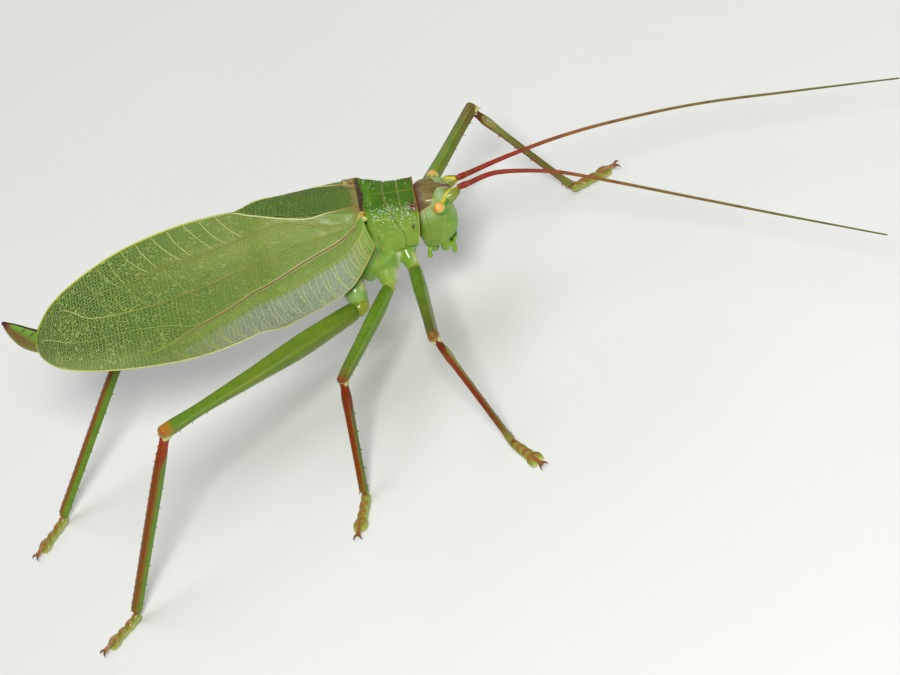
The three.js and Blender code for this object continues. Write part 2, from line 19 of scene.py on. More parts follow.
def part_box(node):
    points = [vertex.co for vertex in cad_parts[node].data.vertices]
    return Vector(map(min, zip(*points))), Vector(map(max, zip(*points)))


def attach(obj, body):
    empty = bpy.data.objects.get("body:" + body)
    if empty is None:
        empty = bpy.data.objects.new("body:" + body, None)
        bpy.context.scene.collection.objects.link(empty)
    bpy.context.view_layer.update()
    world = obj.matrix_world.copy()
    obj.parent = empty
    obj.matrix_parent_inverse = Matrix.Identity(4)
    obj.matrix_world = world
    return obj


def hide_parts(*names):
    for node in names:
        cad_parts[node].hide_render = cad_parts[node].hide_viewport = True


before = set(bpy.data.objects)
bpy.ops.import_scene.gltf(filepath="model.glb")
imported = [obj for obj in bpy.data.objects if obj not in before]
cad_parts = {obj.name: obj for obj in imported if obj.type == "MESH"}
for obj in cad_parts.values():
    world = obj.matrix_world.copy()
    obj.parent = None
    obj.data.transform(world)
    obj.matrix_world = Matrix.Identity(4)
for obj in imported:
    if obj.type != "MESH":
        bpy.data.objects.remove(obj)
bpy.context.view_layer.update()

Array = np.ndarray
Tint = tuple[float, float, float]
Stops = Sequence[tuple[float, ...]]
Layer = tuple[Sequence[float] | Array, Array | float]
Socket = bpy.types.NodeSocket

log = logging.getLogger("katydid")
MM = 0.001
FULL_TURN = 2 * math.pi
BARE = (255, 255, 255)


class Side(Enum):
    """The animal's two sides, as the sign of Y."""

    LEFT = 1
    RIGHT = -1

    @property
    def word(self) -> str:
        """The side's name as the solids use it."""
        return self.name.lower()

    @property
    def flip(self) -> Array:
        """Turns a place on the left side into the same one on this side."""
        return np.array([1, self.value, 1])


# ---------------------------------------------------------------- curves and blends
def ease(x: Array, low: float, high: float) -> Array:
    """Smooth step: 0 below low, 1 above high, and a cubic rise between them."""
    t = np.clip((np.asarray(x, float) - low) / (high - low), 0.0, 1.0)
    return t * t * (3.0 - 2.0 * t)


def fall(x: Array, low: float, high: float) -> Array:
    """Smooth step down: 1 below low and 0 above high."""
    return 1 - ease(x, low, high)


def hill(x: Array, centre: float, width: float) -> Array:
    """Bell curve of height 1: exp of minus the squared distance from centre over width."""
    return np.exp(-(((np.asarray(x, float) - centre) / width) ** 2))


def through(stops: Stops, x: Array) -> Array:
    """A smooth curve of value against place through a few (place, value) stops.

    Args:
        stops: places in rising order, each with its value.
        x: places to read.

    Returns:
        Values, cubic between the stops with slopes that never overshoot, flat outside.
    """
    at = np.array([s[0] for s in stops], float)
    value = np.array([s[1] for s in stops], float)
    step = np.diff(at)
    slope = np.diff(value) / step
    tangent = np.zeros(len(at))
    if len(at) > 2:
        left, right = slope[:-1], slope[1:]
        same = left * right > 0
        tangent[1:-1] = np.where(same, 2 * left * right / np.where(same, left + right, 1.0), 0.0)
    place = np.clip(np.asarray(x, float), at[0], at[-1])
    i = np.clip(np.searchsorted(at, place, side="right") - 1, 0, len(step) - 1)
    t = (place - at[i]) / step[i]
    return (
        (2 * t**3 - 3 * t**2 + 1) * value[i] + (t**3 - 2 * t**2 + t) * step[i] * tangent[i]
        + (-2 * t**3 + 3 * t**2) * value[i + 1] + (t**3 - t**2) * step[i] * tangent[i + 1]
    )


def window(x: Array, low: float, high: float, leave: float, gone: float) -> Array:
    """Rises from 0 to 1 between low and high, and falls back to 0 between leave and gone."""
    return ease(x, low, high) * fall(x, leave, gone)


def spots(x: Array, y: Array, *places: tuple[float, ...]) -> Array:
    """Soft spots: the sum of strength * hill(x, place, width) * hill(y, place, width)."""
    return sum(strength * hill(x, at, wide) * hill(y, to, high) for strength, at, wide, to, high in places)


def powered(x: Array, power: Array | float) -> Array:
    """Signed power: squares up an ellipse when the power is below 1."""
    return np.sign(x) * np.abs(x) ** power


def spline(points: Array, share: Array) -> Array:
    """Uniform Catmull-Rom curve through the points.

    Args:
        points: (n, k) points.
        share: places to read, from 0 to 1.

    Returns:
        Cubics that pass each point along half the step between its neighbours.
    """
    count = len(points) - 1
    place = np.clip(np.asarray(share, float), 0.0, 1.0) * count
    i = np.minimum(place.astype(int), count - 1)
    t = (place - i)[..., None]
    before, here = points[np.maximum(i - 1, 0)], points[i]
    then, after = points[i + 1], points[np.minimum(i + 2, count)]
    start, end = (then - before) / 2, (after - here) / 2
    return (
        (2 * here - 2 * then + start + end) * t**3
        + (-3 * here + 3 * then - 2 * start - end) * t**2 + start * t + here
    )


def walked(path: Array) -> Array:
    """Distance from the start of a path to each of its points."""
    return np.concatenate([[0.0], np.cumsum(np.linalg.norm(np.diff(path, axis=0), axis=1))])


def read(at: Array, marks: Array, path: Array) -> Array:
    """Points of a path at new marks, straight between the old ones."""
    return np.stack([np.interp(at, marks, path[:, k]) for k in range(3)], axis=1)


def evenly(points: Array, count: int) -> Array:
    """The Catmull-Rom curve through the points, read at count places of equal arc spacing.

    Args:
        points: control points, one per row.
        count: how many places to read.

    Returns:
        The places, one per row.
    """
    fine = spline(np.asarray(points, float), np.linspace(0, 1, 60 * len(points)))
    marks = walked(fine)
    return read(np.linspace(0, marks[-1], count), marks, fine)


def unit(v: Array) -> Array:
    """Vectors scaled to length 1."""
    v = np.asarray(v, float)
    return v / np.maximum(np.linalg.norm(v, axis=-1, keepdims=True), 1e-12)


def turn(count: int) -> Array:
    """A row of angles once round, in radians."""
    return np.linspace(0, FULL_TURN, count, endpoint=False)[None, :]


def lattice(down: Array, across: Array) -> tuple[Array, Array]:
    """Two grids: down's values repeated in every column, and across's in every row."""
    return tuple(np.meshgrid(down, across, indexing="ij"))


def wheel(angle: Array, one: Array, two: Array) -> Array:
    """Directions round an axle: one * cos + two * sin."""
    return one * np.cos(angle) + two * np.sin(angle)


def end_loaded(count: int) -> Array:
    """Shares from 0 to 1 that lie closer together near both ends: half of 1 minus a cosine."""
    return (1 - np.cos(np.linspace(0, math.pi, count))) / 2


def rounding(share: Array, length: float, nose: float, tail: float) -> Array:
    """What is left of a full section near a bar's two round ends, as a quarter circle each.

    Args:
        share: shares along the bar, from 0 to 1.
        length: length of the bar.
        nose: length of its rounded first end.
        tail: length of its rounded last end.

    Returns:
        What is left of the section, nearly 0 to 1.
    """
    near = np.clip(share * length / nose, 0, 1)
    far = np.clip((1 - share) * length / tail, 0, 1)
    return np.sqrt(1 - (1 - near) ** 2 + 1e-6) * np.sqrt(1 - (1 - far) ** 2 + 1e-6)


def ripple(p: Array, scale: float, seed: float = 0.0) -> Array:
    """Soft irregular field from -1 to 1: a mean of sines of turned and stretched coordinates.

    Args:
        p: points.
        scale: how fast it varies.
        seed: shifts the pattern.

    Returns:
        The field at each point.
    """
    x, y, z = p[..., 0] * scale, p[..., 1] * scale, p[..., 2] * scale
    return (
        np.sin(1.7 * x + 0.9 * y + 1.3 + seed) * np.cos(1.1 * y - 1.9 * z + seed * 1.7)
        + np.sin(2.9 * z - 1.3 * x + 2.1 * seed) * np.cos(2.3 * y + 0.7 * x + 0.4)
    ) / 2


# ---------------------------------------------------------------- colours
def tone(colour: Sequence[float]) -> Array:
    """A display colour from 0 to 255 as linear light: the sRGB curve."""
    c = np.array(colour) / 255
    return np.where(c <= 0.04045, c / 12.92, ((c + 0.055) / 1.055) ** 2.4)


def flat(colour: Sequence[float], shape: tuple[int, ...]) -> Array:
    """One display colour for every point of a grid, as linear light."""
    return np.broadcast_to(tone(colour), shape + (3,)).copy()


def layered(paint: Array, *layers: Layer) -> Array:
    """Paint with more layers over it, each blended in by a share for each point.

    Args:
        paint: linear colours.
        layers: (display colour, or an array of linear colours) and share, lowest layer first.

    Returns:
        Linear colours.
    """
    for colour, share in layers:
        over = colour if isinstance(colour, np.ndarray) else tone(colour)
        paint = paint + (over - paint) * np.asarray(share)[..., None]
    return paint


def ramp(stops: Stops, x: Array) -> Array:
    """Linear colours against place through (place, red, green, blue) stops, smooth between."""
    lit = [(stop[0], *tone(stop[1:])) for stop in stops]
    return np.stack([through([(s[0], s[k]) for s in lit], x) for k in (1, 2, 3)], axis=-1)


# ---------------------------------------------------------------- frames
@dataclass(frozen=True)
class BodyFrame:
    """Turns body millimetres into row millimetres.

    A body point is pitched nose down about Y, raised to the body's height, and shifted so that
    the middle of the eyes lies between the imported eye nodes.
    """

    pitch: float = math.radians(22)
    height: float = 21.0
    eye: Tint = (7.5, 2.65, -1.38)

    @property
    def shift(self) -> Array:
        """Floor frame to row frame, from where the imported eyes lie."""
        seen = np.mean([np.mean(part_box(f"eye_{side.word}"), axis=0) for side in Side], axis=0) / MM
        x, _, z = self.eye
        mine = self.pitched(np.array([x, 0.0, z]))
        return np.array([seen[0] - mine[0], seen[1] - mine[1], 0.0])

    def pitched(self, points: Array) -> Array:
        """Body to floor frame: x' = x cos + z sin, z' = z cos - x sin + height.

        Args:
            points: body points.

        Returns:
            Points of the floor frame.
        """
        p = np.asarray(points, float)
        c, s = math.cos(self.pitch), math.sin(self.pitch)
        return np.stack([
            p[..., 0] * c + p[..., 2] * s, p[..., 1], p[..., 2] * c - p[..., 0] * s + self.height,
        ], axis=-1)

    def row(self, points: Array) -> Array:
        """Body to row frame."""
        return self.pitched(points) + self.shift

    def body(self, points: Array) -> Array:
        """Row to body frame, the inverse of row.

        Args:
            points: row points in millimetres.

        Returns:
            Body points.
        """
        p = np.asarray(points, float) - self.shift - np.array([0.0, 0.0, self.height])
        c, s = math.cos(self.pitch), math.sin(self.pitch)
        return np.stack([
            p[..., 0] * c - p[..., 2] * s, p[..., 1], p[..., 0] * s + p[..., 2] * c,
        ], axis=-1)

    def turned(self, vectors: Array) -> Array:
        """Body directions to row directions."""
        return self.pitched(vectors) - self.pitched(np.zeros(3))

    def eye_middle(self, side: Side) -> Array:
        """Body place of the middle of a packed eye."""
        low, high = (np.array(c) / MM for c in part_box(f"eye_{side.word}"))
        return self.body((low + high) / 2)


BODY = BodyFrame()
UP = BODY.turned(np.array([0, 0, 1.0]))


# ---------------------------------------------------------------- surfaces
@dataclass
class Surface:
    """A mesh in row millimetres: points, four-cornered faces (-1 ends a triangle), UVs in
    millimetres, a colour for each point, and any further marks, named numbers or colours for
    each point."""

    points: Array
    faces: Array
    uv: Array
    paint: Array
    marks: dict[str, Array] = field(default_factory=dict)


def joined(surfaces: Sequence[Surface]) -> Surface:
    """All surfaces in one mesh, without their further marks.

    Args:
        surfaces: surfaces with points, faces, paint and map.

    Returns:
        One surface.
    """
    starts = np.cumsum([0] + [len(s.points) for s in surfaces[:-1]])
    return Surface(
        np.concatenate([s.points for s in surfaces]),
        np.concatenate([np.where(s.faces < 0, -1, s.faces + n) for s, n in zip(surfaces, starts)]),
        np.concatenate([s.uv for s in surfaces]), np.concatenate([s.paint for s in surfaces]),
    )


def quads(index: Array) -> Array:
    """Four-cornered faces between neighbours of a grid of point numbers."""
    corners = [index[:-1, :-1], index[1:, :-1], index[1:, 1:], index[:-1, 1:]]
    return np.stack(corners, axis=-1).reshape(-1, 4)


def outward(surface: Surface) -> Surface:
    """The surface with its faces turned over if it encloses a negative volume.

    Args:
        surface: a closed surface.

    Returns:
        The surface, with its faces looking out.
    """
    p, f = surface.points, surface.faces
    quad = f[:, 3] >= 0
    q = f[quad]
    volume = np.einsum("ij,ij->i", p[f[:, 0]], np.cross(p[f[:, 1]], p[f[:, 2]])).sum()
    volume += np.einsum("ij,ij->i", p[q[:, 0]], np.cross(p[q[:, 2]], p[q[:, 3]])).sum()
    if volume < 0:
        surface.faces = f.copy()
        surface.faces[quad] = q[:, ::-1]
        surface.faces[~quad, :3] = f[~quad][:, 2::-1]
    return surface


def shell(grid: Array, paint: Array, uv: Array | None = None) -> Surface:
    """A closed skin from rings of points: neighbours join into quads, and a fan of triangles to
    the mean of the end ring closes each end.

    Args:
        grid: (rings, around, 3) points.
        paint: (rings, around, 3) colours.
        uv: (rings, around, 2) millimetres, or None for zeros.

    Returns:
        The skin with its faces outward.
    """
    rings, around, _ = grid.shape
    index = np.arange(rings * around).reshape(rings, around)
    turned = np.roll(index, -1, axis=1)
    sides = np.stack([index[:-1], turned[:-1], turned[1:], index[1:]], axis=-1).reshape(-1, 4)
    none = np.full(around, -1)
    fans = [
        np.stack([np.full(around, rings * around), turned[0], index[0], none], axis=1),
        np.stack([np.full(around, rings * around + 1), index[-1], turned[-1], none], axis=1),
    ]
    uv = np.zeros((rings, around, 2)) if uv is None else uv
    capped = [
        np.concatenate([a.reshape(-1, a.shape[-1]), a[0].mean(0)[None], a[-1].mean(0)[None]])
        for a in (grid, uv, paint)
    ]
    return outward(Surface(capped[0], np.concatenate([sides, *fans]), *capped[1:]))


def plate(outer: Array, inner: Array, paint: Array, uv: Array, lining: Array | None = None) -> Surface:
    """A closed sheet: an outer and an inner grid joined round their rims.

    Args:
        outer: (rows, columns, 3) points of the outer face.
        inner: the same for the inner face.
        paint: colours of the outer face.
        uv: (rows, columns, 2) millimetres.
        lining: colours of the inner face, or None to repeat the outer ones.

    Returns:
        The sheet with its faces outward.
    """
    rows, columns, _ = outer.shape
    top = np.arange(rows * columns).reshape(rows, columns)
    low = top + rows * columns

    def rim(a: Array, b: Array) -> Array:
        """Faces between two lines of point numbers."""
        return np.stack([a[:-1], b[:-1], b[1:], a[1:]], axis=-1)

    faces = np.concatenate([
        quads(top), quads(low)[:, ::-1], rim(top[0], low[0])[:, ::-1], rim(top[-1], low[-1]),
        rim(top[:, 0], low[:, 0]), rim(top[:, -1], low[:, -1])[:, ::-1],
    ])
    lining = paint if lining is None else lining
    return outward(Surface(
        np.concatenate([outer.reshape(-1, 3), inner.reshape(-1, 3)]), faces,
        np.concatenate([uv.reshape(-1, 2)] * 2),
        np.concatenate([paint.reshape(-1, 3), lining.reshape(-1, 3)]),
    ))


def bare(grid: Array) -> Surface:
    """A white closed skin from rings of body points."""
    return shell(BODY.row(grid), flat(BARE, grid.shape[:2]))


def ball(centre: Sequence[float], radii: Sequence[float], around: int = 20) -> Surface:
    """A white ellipsoid in body millimetres, as rings from pole to pole.

    Args:
        centre: its middle.
        radii: half lengths along X, Y and Z.
        around: rings, and corners in a ring.

    Returns:
        The ellipsoid.
    """
    lat, lon = np.linspace(0.02, math.pi - 0.02, around)[:, None], turn(around)
    return bare(np.stack([
        centre[0] + radii[0] * np.sin(lat) * np.cos(lon), centre[1] + radii[1] * np.sin(lat) * np.sin(lon),
        centre[2] + radii[2] * np.cos(lat) + 0 * lon,
    ], axis=-1))


def lump(
    centre: Array, ahead: Array, rise: Array, radii: Sequence[float], paint: Tint, around: int = 16,
) -> Surface:
    """An ellipsoid lying along given directions, in row millimetres.

    Args:
        centre: its middle.
        ahead: direction of its first radius.
        rise: direction that its third radius leans to.
        radii: half length, half width and half height.
        paint: its colour.
        around: rings, and corners round each.

    Returns:
        The ellipsoid.
    """
    ahead = unit(ahead)
    across = unit(np.cross(rise, ahead))
    up = np.cross(ahead, across)
    lat, lon = np.linspace(0.03, math.pi - 0.03, around)[:, None], turn(around)
    grid = (
        centre + ahead * (radii[0] * np.cos(lat) + 0 * lon)[..., None]
        + across * (radii[1] * np.sin(lat) * np.cos(lon))[..., None]
        + up * (radii[2] * np.sin(lat) * np.sin(lon))[..., None]
    )
    return shell(grid, flat(paint, grid.shape[:2]))


def tube(
    path: Array, rise: Array, wide: Array, deep: Array, around: int, paint: Array | Tint,
    power: float = 1.0, lift: Array | None = None,
) -> Surface:
    """A bar carried along a path: centre + across * wide * cos + rise * deep * sin at each angle.

    Args:
        path: (rings, 3) centres in row millimetres.
        rise: direction, or one for each ring, that angle 90 degrees points to.
        wide: (rings,) or (rings, around) half widths.
        deep: the same for half depths.
        around: corners round the bar.
        paint: a colour, or (rings, 3) or (rings, around, 3) linear colours.
        power: below 1 squares the section up.
        lift: (rings,) shift of the centre along rise.

    Returns:
        The closed bar, with its UV as length and girth in millimetres.
    """
    tangent = unit(np.gradient(path, axis=0))
    across = unit(np.cross(np.broadcast_to(np.asarray(rise, float), path.shape), tangent))
    rise = np.cross(tangent, across)
    angle = turn(around)
    wide = np.asarray(wide).reshape(len(path), -1)
    deep = np.asarray(deep).reshape(len(path), -1)
    centre = path if lift is None else path + rise * np.asarray(lift)[:, None]
    grid = (
        centre[:, None, :] + across[:, None, :] * (wide * powered(np.cos(angle), power))[..., None]
        + rise[:, None, :] * (deep * powered(np.sin(angle), power))[..., None]
    )
    girth = np.broadcast_to(angle * np.mean(deep), (len(path), around))
    uv = np.stack([np.broadcast_to(walked(path)[:, None], girth.shape), girth], axis=-1)
    if not isinstance(paint, np.ndarray):
        paint = flat(paint, girth.shape)
    elif paint.ndim == 2:
        paint = np.repeat(paint[:, None], around, axis=1)
    return shell(grid, paint, uv)


def axles(direction: Array) -> tuple[Array, Array]:
    """Two directions square to each given one and to each other.

    Args:
        direction: unit directions, one per row.

    Returns:
        The two sets of directions.
    """
    helper = np.where(np.abs(direction[:, 2:3]) < 0.8, [[0.0, 0.0, 1.0]], [[1.0, 0.0, 0.0]])
    one = unit(np.cross(direction, helper))
    return one, np.cross(direction, one)


def spikes(root: Array, direction: Array, height: Array, radius: float, paint: Tint) -> Surface:
    """Thorns: six-sided cones that taper and end in a point, one for each root.

    Args:
        root: (n, 3) row millimetres.
        direction: (n, 3) unit vectors.
        height: (n,) lengths.
        radius: half thickness at the root.
        paint: colour at the root; tips go darker.

    Returns:
        All thorns in one mesh.
    """
    sides, levels = 6, np.array([-0.3, 0.0, 0.35, 0.7, 0.98])
    girth = np.array([1.15, 1.0, 0.62, 0.3, 0.04]) * radius
    one, two = axles(direction)
    colour = flat(paint, (len(levels), sides)) * np.linspace(1.0, 0.45, len(levels))[:, None, None]
    parts = []
    for k in range(len(root)):
        ring = wheel(turn(sides)[0][:, None], one[k], two[k])
        middle = root[k] + direction[k] * (levels * height[k])[:, None]
        parts.append(shell(middle[:, None, :] + ring[None] * girth[:, None, None], colour))
    return joined(parts)


def domes(centre: Array, up: Array, radius: Array, height: Array, paint: Tint) -> Surface:
    """Low six-sided domes standing on a surface.

    Args:
        centre: (n, 3) row millimetres.
        up: (n, 3) unit vectors.
        radius: (n,) half widths.
        height: (n,) heights.
        paint: their colour.

    Returns:
        All domes in one mesh: two rings and two poles each.
    """
    one, two = axles(up)
    ring = wheel(turn(6)[..., None], one[:, None, :], two[:, None, :])
    low = centre[:, None, :] + ring * radius[:, None, None] - up[:, None, :] * (0.3 * height)[:, None, None]
    mid = centre[:, None, :] + ring * (0.75 * radius)[:, None, None] + up[:, None, :] * (0.6 * height)[:, None, None]
    poles = np.stack([centre + up * height[:, None], centre - up * height[:, None]], axis=1)
    points = np.concatenate([low, mid, poles], axis=1).reshape(-1, 3)
    k, none = np.arange(6), np.full(6, -1)
    then = (k + 1) % 6
    one_dome = np.concatenate([
        np.stack([k, then, then + 6, k + 6], axis=1),
        np.stack([k + 6, then + 6, np.full(6, 12), none], axis=1),
        np.stack([then, k, np.full(6, 13), none], axis=1),
    ])
    starts = (np.arange(len(centre)) * 14)[:, None, None]
    faces = np.where(one_dome[None] < 0, -1, one_dome[None] + starts).reshape(-1, 4)
    return outward(Surface(points, faces, np.zeros((len(points), 2)), flat(paint, (len(points),))))


def fused(parts: Sequence[Surface], voxel: float, rounds: int) -> Surface:
    """One skin round several overlapping closed surfaces, by voxel remesh and smoothing.

    Args:
        parts: closed surfaces in row millimetres.
        voxel: edge of a voxel in millimetres.
        rounds: smoothing rounds.

    Returns:
        The skin, with zero UVs and white paint.
    """
    source = write_object("fusing", joined(parts), smooth=False)
    remesh = source.modifiers.new("remesh", "REMESH")
    remesh.mode = "VOXEL"
    remesh.voxel_size = voxel * MM
    soften = source.modifiers.new("soften", "SMOOTH")
    soften.factor = 0.5
    soften.iterations = rounds
    made = source.evaluated_get(bpy.context.evaluated_depsgraph_get()).to_mesh()
    points = np.empty(len(made.vertices) * 3)
    start, total = np.empty(len(made.polygons), int), np.empty(len(made.polygons), int)
    corner = np.empty(len(made.loops), int)
    made.vertices.foreach_get("co", points)
    made.polygons.foreach_get("loop_start", start)
    made.polygons.foreach_get("loop_total", total)
    made.loops.foreach_get("vertex_index", corner)
    fourth = np.where(total > 3, corner[np.minimum(start + 3, len(corner) - 1)], -1)
    faces = np.stack([corner[start], corner[start + 1], corner[start + 2], fourth], axis=1)
    points = points.reshape(-1, 3) / MM
    mesh = source.data
    bpy.data.objects.remove(source)
    bpy.data.meshes.remove(mesh)
    return Surface(points, faces, np.zeros((len(points), 2)), np.ones((len(points), 3)))


def warmed(paint: Array) -> Array:
    """Colours with part of their blue taken out, to make up for the pale sheen a gloss adds; near
    white ones keep theirs."""
    kept = 0.66 + 0.34 * ease(paint[:, 2], 0.2, 0.6)
    return np.clip(paint * np.stack([np.ones_like(kept), np.ones_like(kept), kept], axis=1), 0, 1)


def write_object(name: str, surface: Surface, smooth: bool = True) -> bpy.types.Object:
    """Writes a surface into a new mesh object in metres, with its UV map, paint and marks.

    Args:
        name: the object's and the mesh's name.
        surface: its shape in row millimetres.
        smooth: whether its faces are shaded smooth.

    Returns:
        The object.
    """
    mesh = bpy.data.meshes.new(name)
    keep = surface.faces >= 0
    total = keep.sum(axis=1).astype(np.int32)
    corners = surface.faces[keep].astype(np.int32)
    mesh.vertices.add(len(surface.points))
    mesh.vertices.foreach_set("co", (surface.points * MM).ravel())
    mesh.loops.add(len(corners))
    mesh.loops.foreach_set("vertex_index", corners)
    mesh.polygons.add(len(total))
    mesh.polygons.foreach_set("loop_start", np.concatenate([[0], np.cumsum(total)[:-1]]).astype(np.int32))
    mesh.polygons.foreach_set("loop_total", total)
    mesh.update(calc_edges=True)
    mesh.polygons.foreach_set("use_smooth", np.full(len(total), smooth))
    layer = mesh.uv_layers.new(name="millimetres")
    layer.data.foreach_set("uv", surface.uv[corners].astype(np.float32).ravel())
    for mark, values in {"paint": surface.paint, **surface.marks}.items():
        if values.ndim == 1:
            made = mesh.attributes.new(mark, "FLOAT", "POINT")
            made.data.foreach_set("value", values.astype(np.float32))
        else:
            rgba = np.ones((len(values), 4), np.float32)
            rgba[:, :3] = warmed(values)
            made = mesh.attributes.new(mark, "FLOAT_COLOR", "POINT")
            made.data.foreach_set("color", rgba.ravel())
    mesh.validate()
    piece = bpy.data.objects.new(name, mesh)
    bpy.context.scene.collection.objects.link(piece)
    return piece


# ---------------------------------------------------------------- materials
class Graph:
    """Makes and joins shader nodes; a socket stands for a linked value, a number for a set one."""

    def __init__(self, tree: bpy.types.NodeTree) -> None:
        """Keeps the tree that the nodes go into."""
        self.tree = tree

    def node(self, kind: str, inputs: dict | None = None, **settings: object) -> bpy.types.Node:
        """A new node.

        Args:
            kind: the node's type without its ShaderNode prefix, or a full type name.
            inputs: values or sockets by input name or index.
            settings: properties of the node.

        Returns:
            The node.
        """
        made = self.tree.nodes.new(kind if kind.startswith("Node") else f"ShaderNode{kind}")
        for name, value in settings.items():
            setattr(made, name, value)
        for key, value in (inputs or {}).items():
            self.feed(made.inputs[key], value)
        return made

    def feed(self, socket: Socket, value: object) -> None:
        """Links a socket or sets its number or colour.

        Args:
            socket: the input.
            value: a socket, a number, or three numbers for a colour or a vector.
        """
        if isinstance(value, Socket):
            self.tree.links.new(value, socket)
        elif isinstance(value, tuple) and socket.type == "RGBA":
            socket.default_value = (*value, 1.0)
        else:
            socket.default_value = value

    def sum(self, first: object, second: object, share: float | None = None) -> Socket:
        """First plus second, or plus second times a share."""
        return self.math("ADD", first, second if share is None else self.times(second, share))

    def times(self, first: object, second: object) -> Socket:
        """First times second."""
        return self.math("MULTIPLY", first, second)

    def math(self, operation: str, first: object, second: object) -> Socket:
        """One arithmetic step."""
        return self.node("Math", {0: first, 1: second}, operation=operation).outputs[0]

    def band(self, value: object, low: float, high: float, start: float = 0.0, end: float = 1.0) -> Socket:
        """Smooth step of a value from low to high, onto start to end."""
        given = {0: value, 1: low, 2: high, 3: start, 4: end}
        return self.node("MapRange", given, interpolation_type="SMOOTHSTEP").outputs[0]

    def mix(self, share: object, first: object, second: object) -> Socket:
        """Two colours blended by a share."""
        return self.node("Mix", {0: share, 6: first, 7: second}, data_type="RGBA").outputs[2]

    def stored(self, name: str, output: str = "Color") -> Socket:
        """A colour or a number kept on the mesh."""
        return self.node("Attribute", attribute_name=name, attribute_type="GEOMETRY").outputs[output]

    def place(self, scale: float = 1000.0) -> Socket:
        """The object's own coordinates, in units of 1 / scale metres: millimetres if not said."""
        where = self.node("TexCoord").outputs["Object"]
        return self.node("VectorMath", {0: where, "Scale": scale}, operation="SCALE").outputs[0]

    def noise(self, where: object, scale: object, detail: float = 3.0, output: str = "Fac") -> Socket:
        """Fractal noise."""
        return self.node("TexNoise", {"Vector": where, "Scale": scale, "Detail": detail}).outputs[output]

    def cells(self, where: object, scale: float, loose: float = 1.0) -> Socket:
        """Distance to the walls of a cellular pattern, whose cells are the more even the less loose."""
        given = {"Vector": where, "Scale": scale, "Randomness": loose}
        return self.node("TexVoronoi", given, feature="DISTANCE_TO_EDGE").outputs["Distance"]

    def bump(self, strength: object, reach: float, height: object) -> Socket:
        """A normal from a height field; reach is in metres."""
        return self.node("Bump", {"Strength": strength, "Distance": reach, "Height": height}).outputs[0]


def group(
    name: str, inputs: dict[str, str], outputs: dict[str, str], fill: Callable[[Graph, dict], dict],
) -> bpy.types.NodeTree:
    """A shader node group, made once.

    Args:
        name: the group's name.
        inputs: socket kinds (Float, Color or Vector) by name.
        outputs: the same for outputs.
        fill: takes the graph and the input sockets, and returns the output sockets.

    Returns:
        The group.
    """
    if name in bpy.data.node_groups:
        return bpy.data.node_groups[name]
    tree = bpy.data.node_groups.new(name, "ShaderNodeTree")
    for way, sockets in (("INPUT", inputs), ("OUTPUT", outputs)):
        for label, kind in sockets.items():
            tree.interface.new_socket(name=label, in_out=way, socket_type=f"NodeSocket{kind}")
    graph = Graph(tree)
    entry = graph.node("NodeGroupInput")
    made = fill(graph, {label: entry.outputs[label] for label in inputs})
    graph.node("NodeGroupOutput", made)
    return tree


def mottled(graph: Graph, colour: object, scale: float, amount: float) -> Socket:
    """A colour made lighter, darker and a little warmer in soft patches and fine grains.

    Args:
        graph: the material's graph.
        colour: the plain colour.
        scale: patches to a millimetre.
        amount: how far the patches swing.

    Returns:
        The mottled colour.
    """

    def fill(g: Graph, given: dict) -> dict:
        """Value 1 + amount * (patches + grains), and a hue that moves with the patches.

        Args:
            g: the group's graph.
            given: its input sockets by name.

        Returns:
            Its output sockets by name.
        """
        where = g.place()
        patch = g.math("SUBTRACT", g.noise(where, given["Scale"], 4.0), 0.5)
        fine = g.math("SUBTRACT", g.noise(where, 4.0, 2.0), 0.5)
        swing = g.sum(g.times(patch, 2.2), fine, 0.6)
        value = g.sum(g.times(swing, given["Amount"]), 1.0)
        hue = g.sum(g.times(patch, -0.06), 0.5)
        return {"Color": g.node("HueSaturation", {"Hue": hue, "Value": value, "Color": given["Color"]}).outputs[0]}

    tree = group("mottle", {"Color": "Color", "Scale": "Float", "Amount": "Float"}, {"Color": "Color"}, fill)
    return graph.node("Group", {"Color": colour, "Scale": scale, "Amount": amount}, node_tree=tree).outputs[0]


def grained(graph: Graph, scale: float, strength: float, pits: float) -> Socket:
    """A normal with the pits and wrinkles of cuticle.

    Args:
        graph: the material's graph.
        scale: grains to a millimetre.
        strength: how deep the relief is.
        pits: the pits' share of it.

    Returns:
        The normal.
    """

    def fill(g: Graph, given: dict) -> dict:
        """Height as wrinkles plus pits.

        Args:
            g: the group's graph.
            given: its input sockets by name.

        Returns:
            Its output sockets by name.
        """
        where = g.place()
        cell = g.node("TexVoronoi", {"Vector": where, "Scale": given["Scale"]}, feature="SMOOTH_F1")
        wrinkle = g.noise(where, given["Scale"])
        pitted = g.times(cell.outputs["Distance"], given["Pits"])
        height = g.sum(g.times(wrinkle, 0.6), pitted)
        return {"Normal": g.bump(given["Strength"], 0.00012, height)}

    tree = group("grain", {"Scale": "Float", "Strength": "Float", "Pits": "Float"}, {"Normal": "Vector"}, fill)
    return graph.node("Group", {"Scale": scale, "Strength": strength, "Pits": pits}, node_tree=tree).outputs[0]


def finished(name: str, dress: Callable[[Graph], dict]) -> bpy.types.Material:
    """A material with one Principled shader, made once.

    Args:
        name: the material's name.
        dress: takes the graph and returns the shader's inputs.

    Returns:
        The material.
    """
    if name in bpy.data.materials:
        return bpy.data.materials[name]
    made = bpy.data.materials.new(name)
    made.use_nodes = True
    made.node_tree.nodes.clear()
    graph = Graph(made.node_tree)
    shader = graph.node("BsdfPrincipled", dress(graph))
    graph.node("OutputMaterial", {"Surface": shader.outputs[0]})
    return made


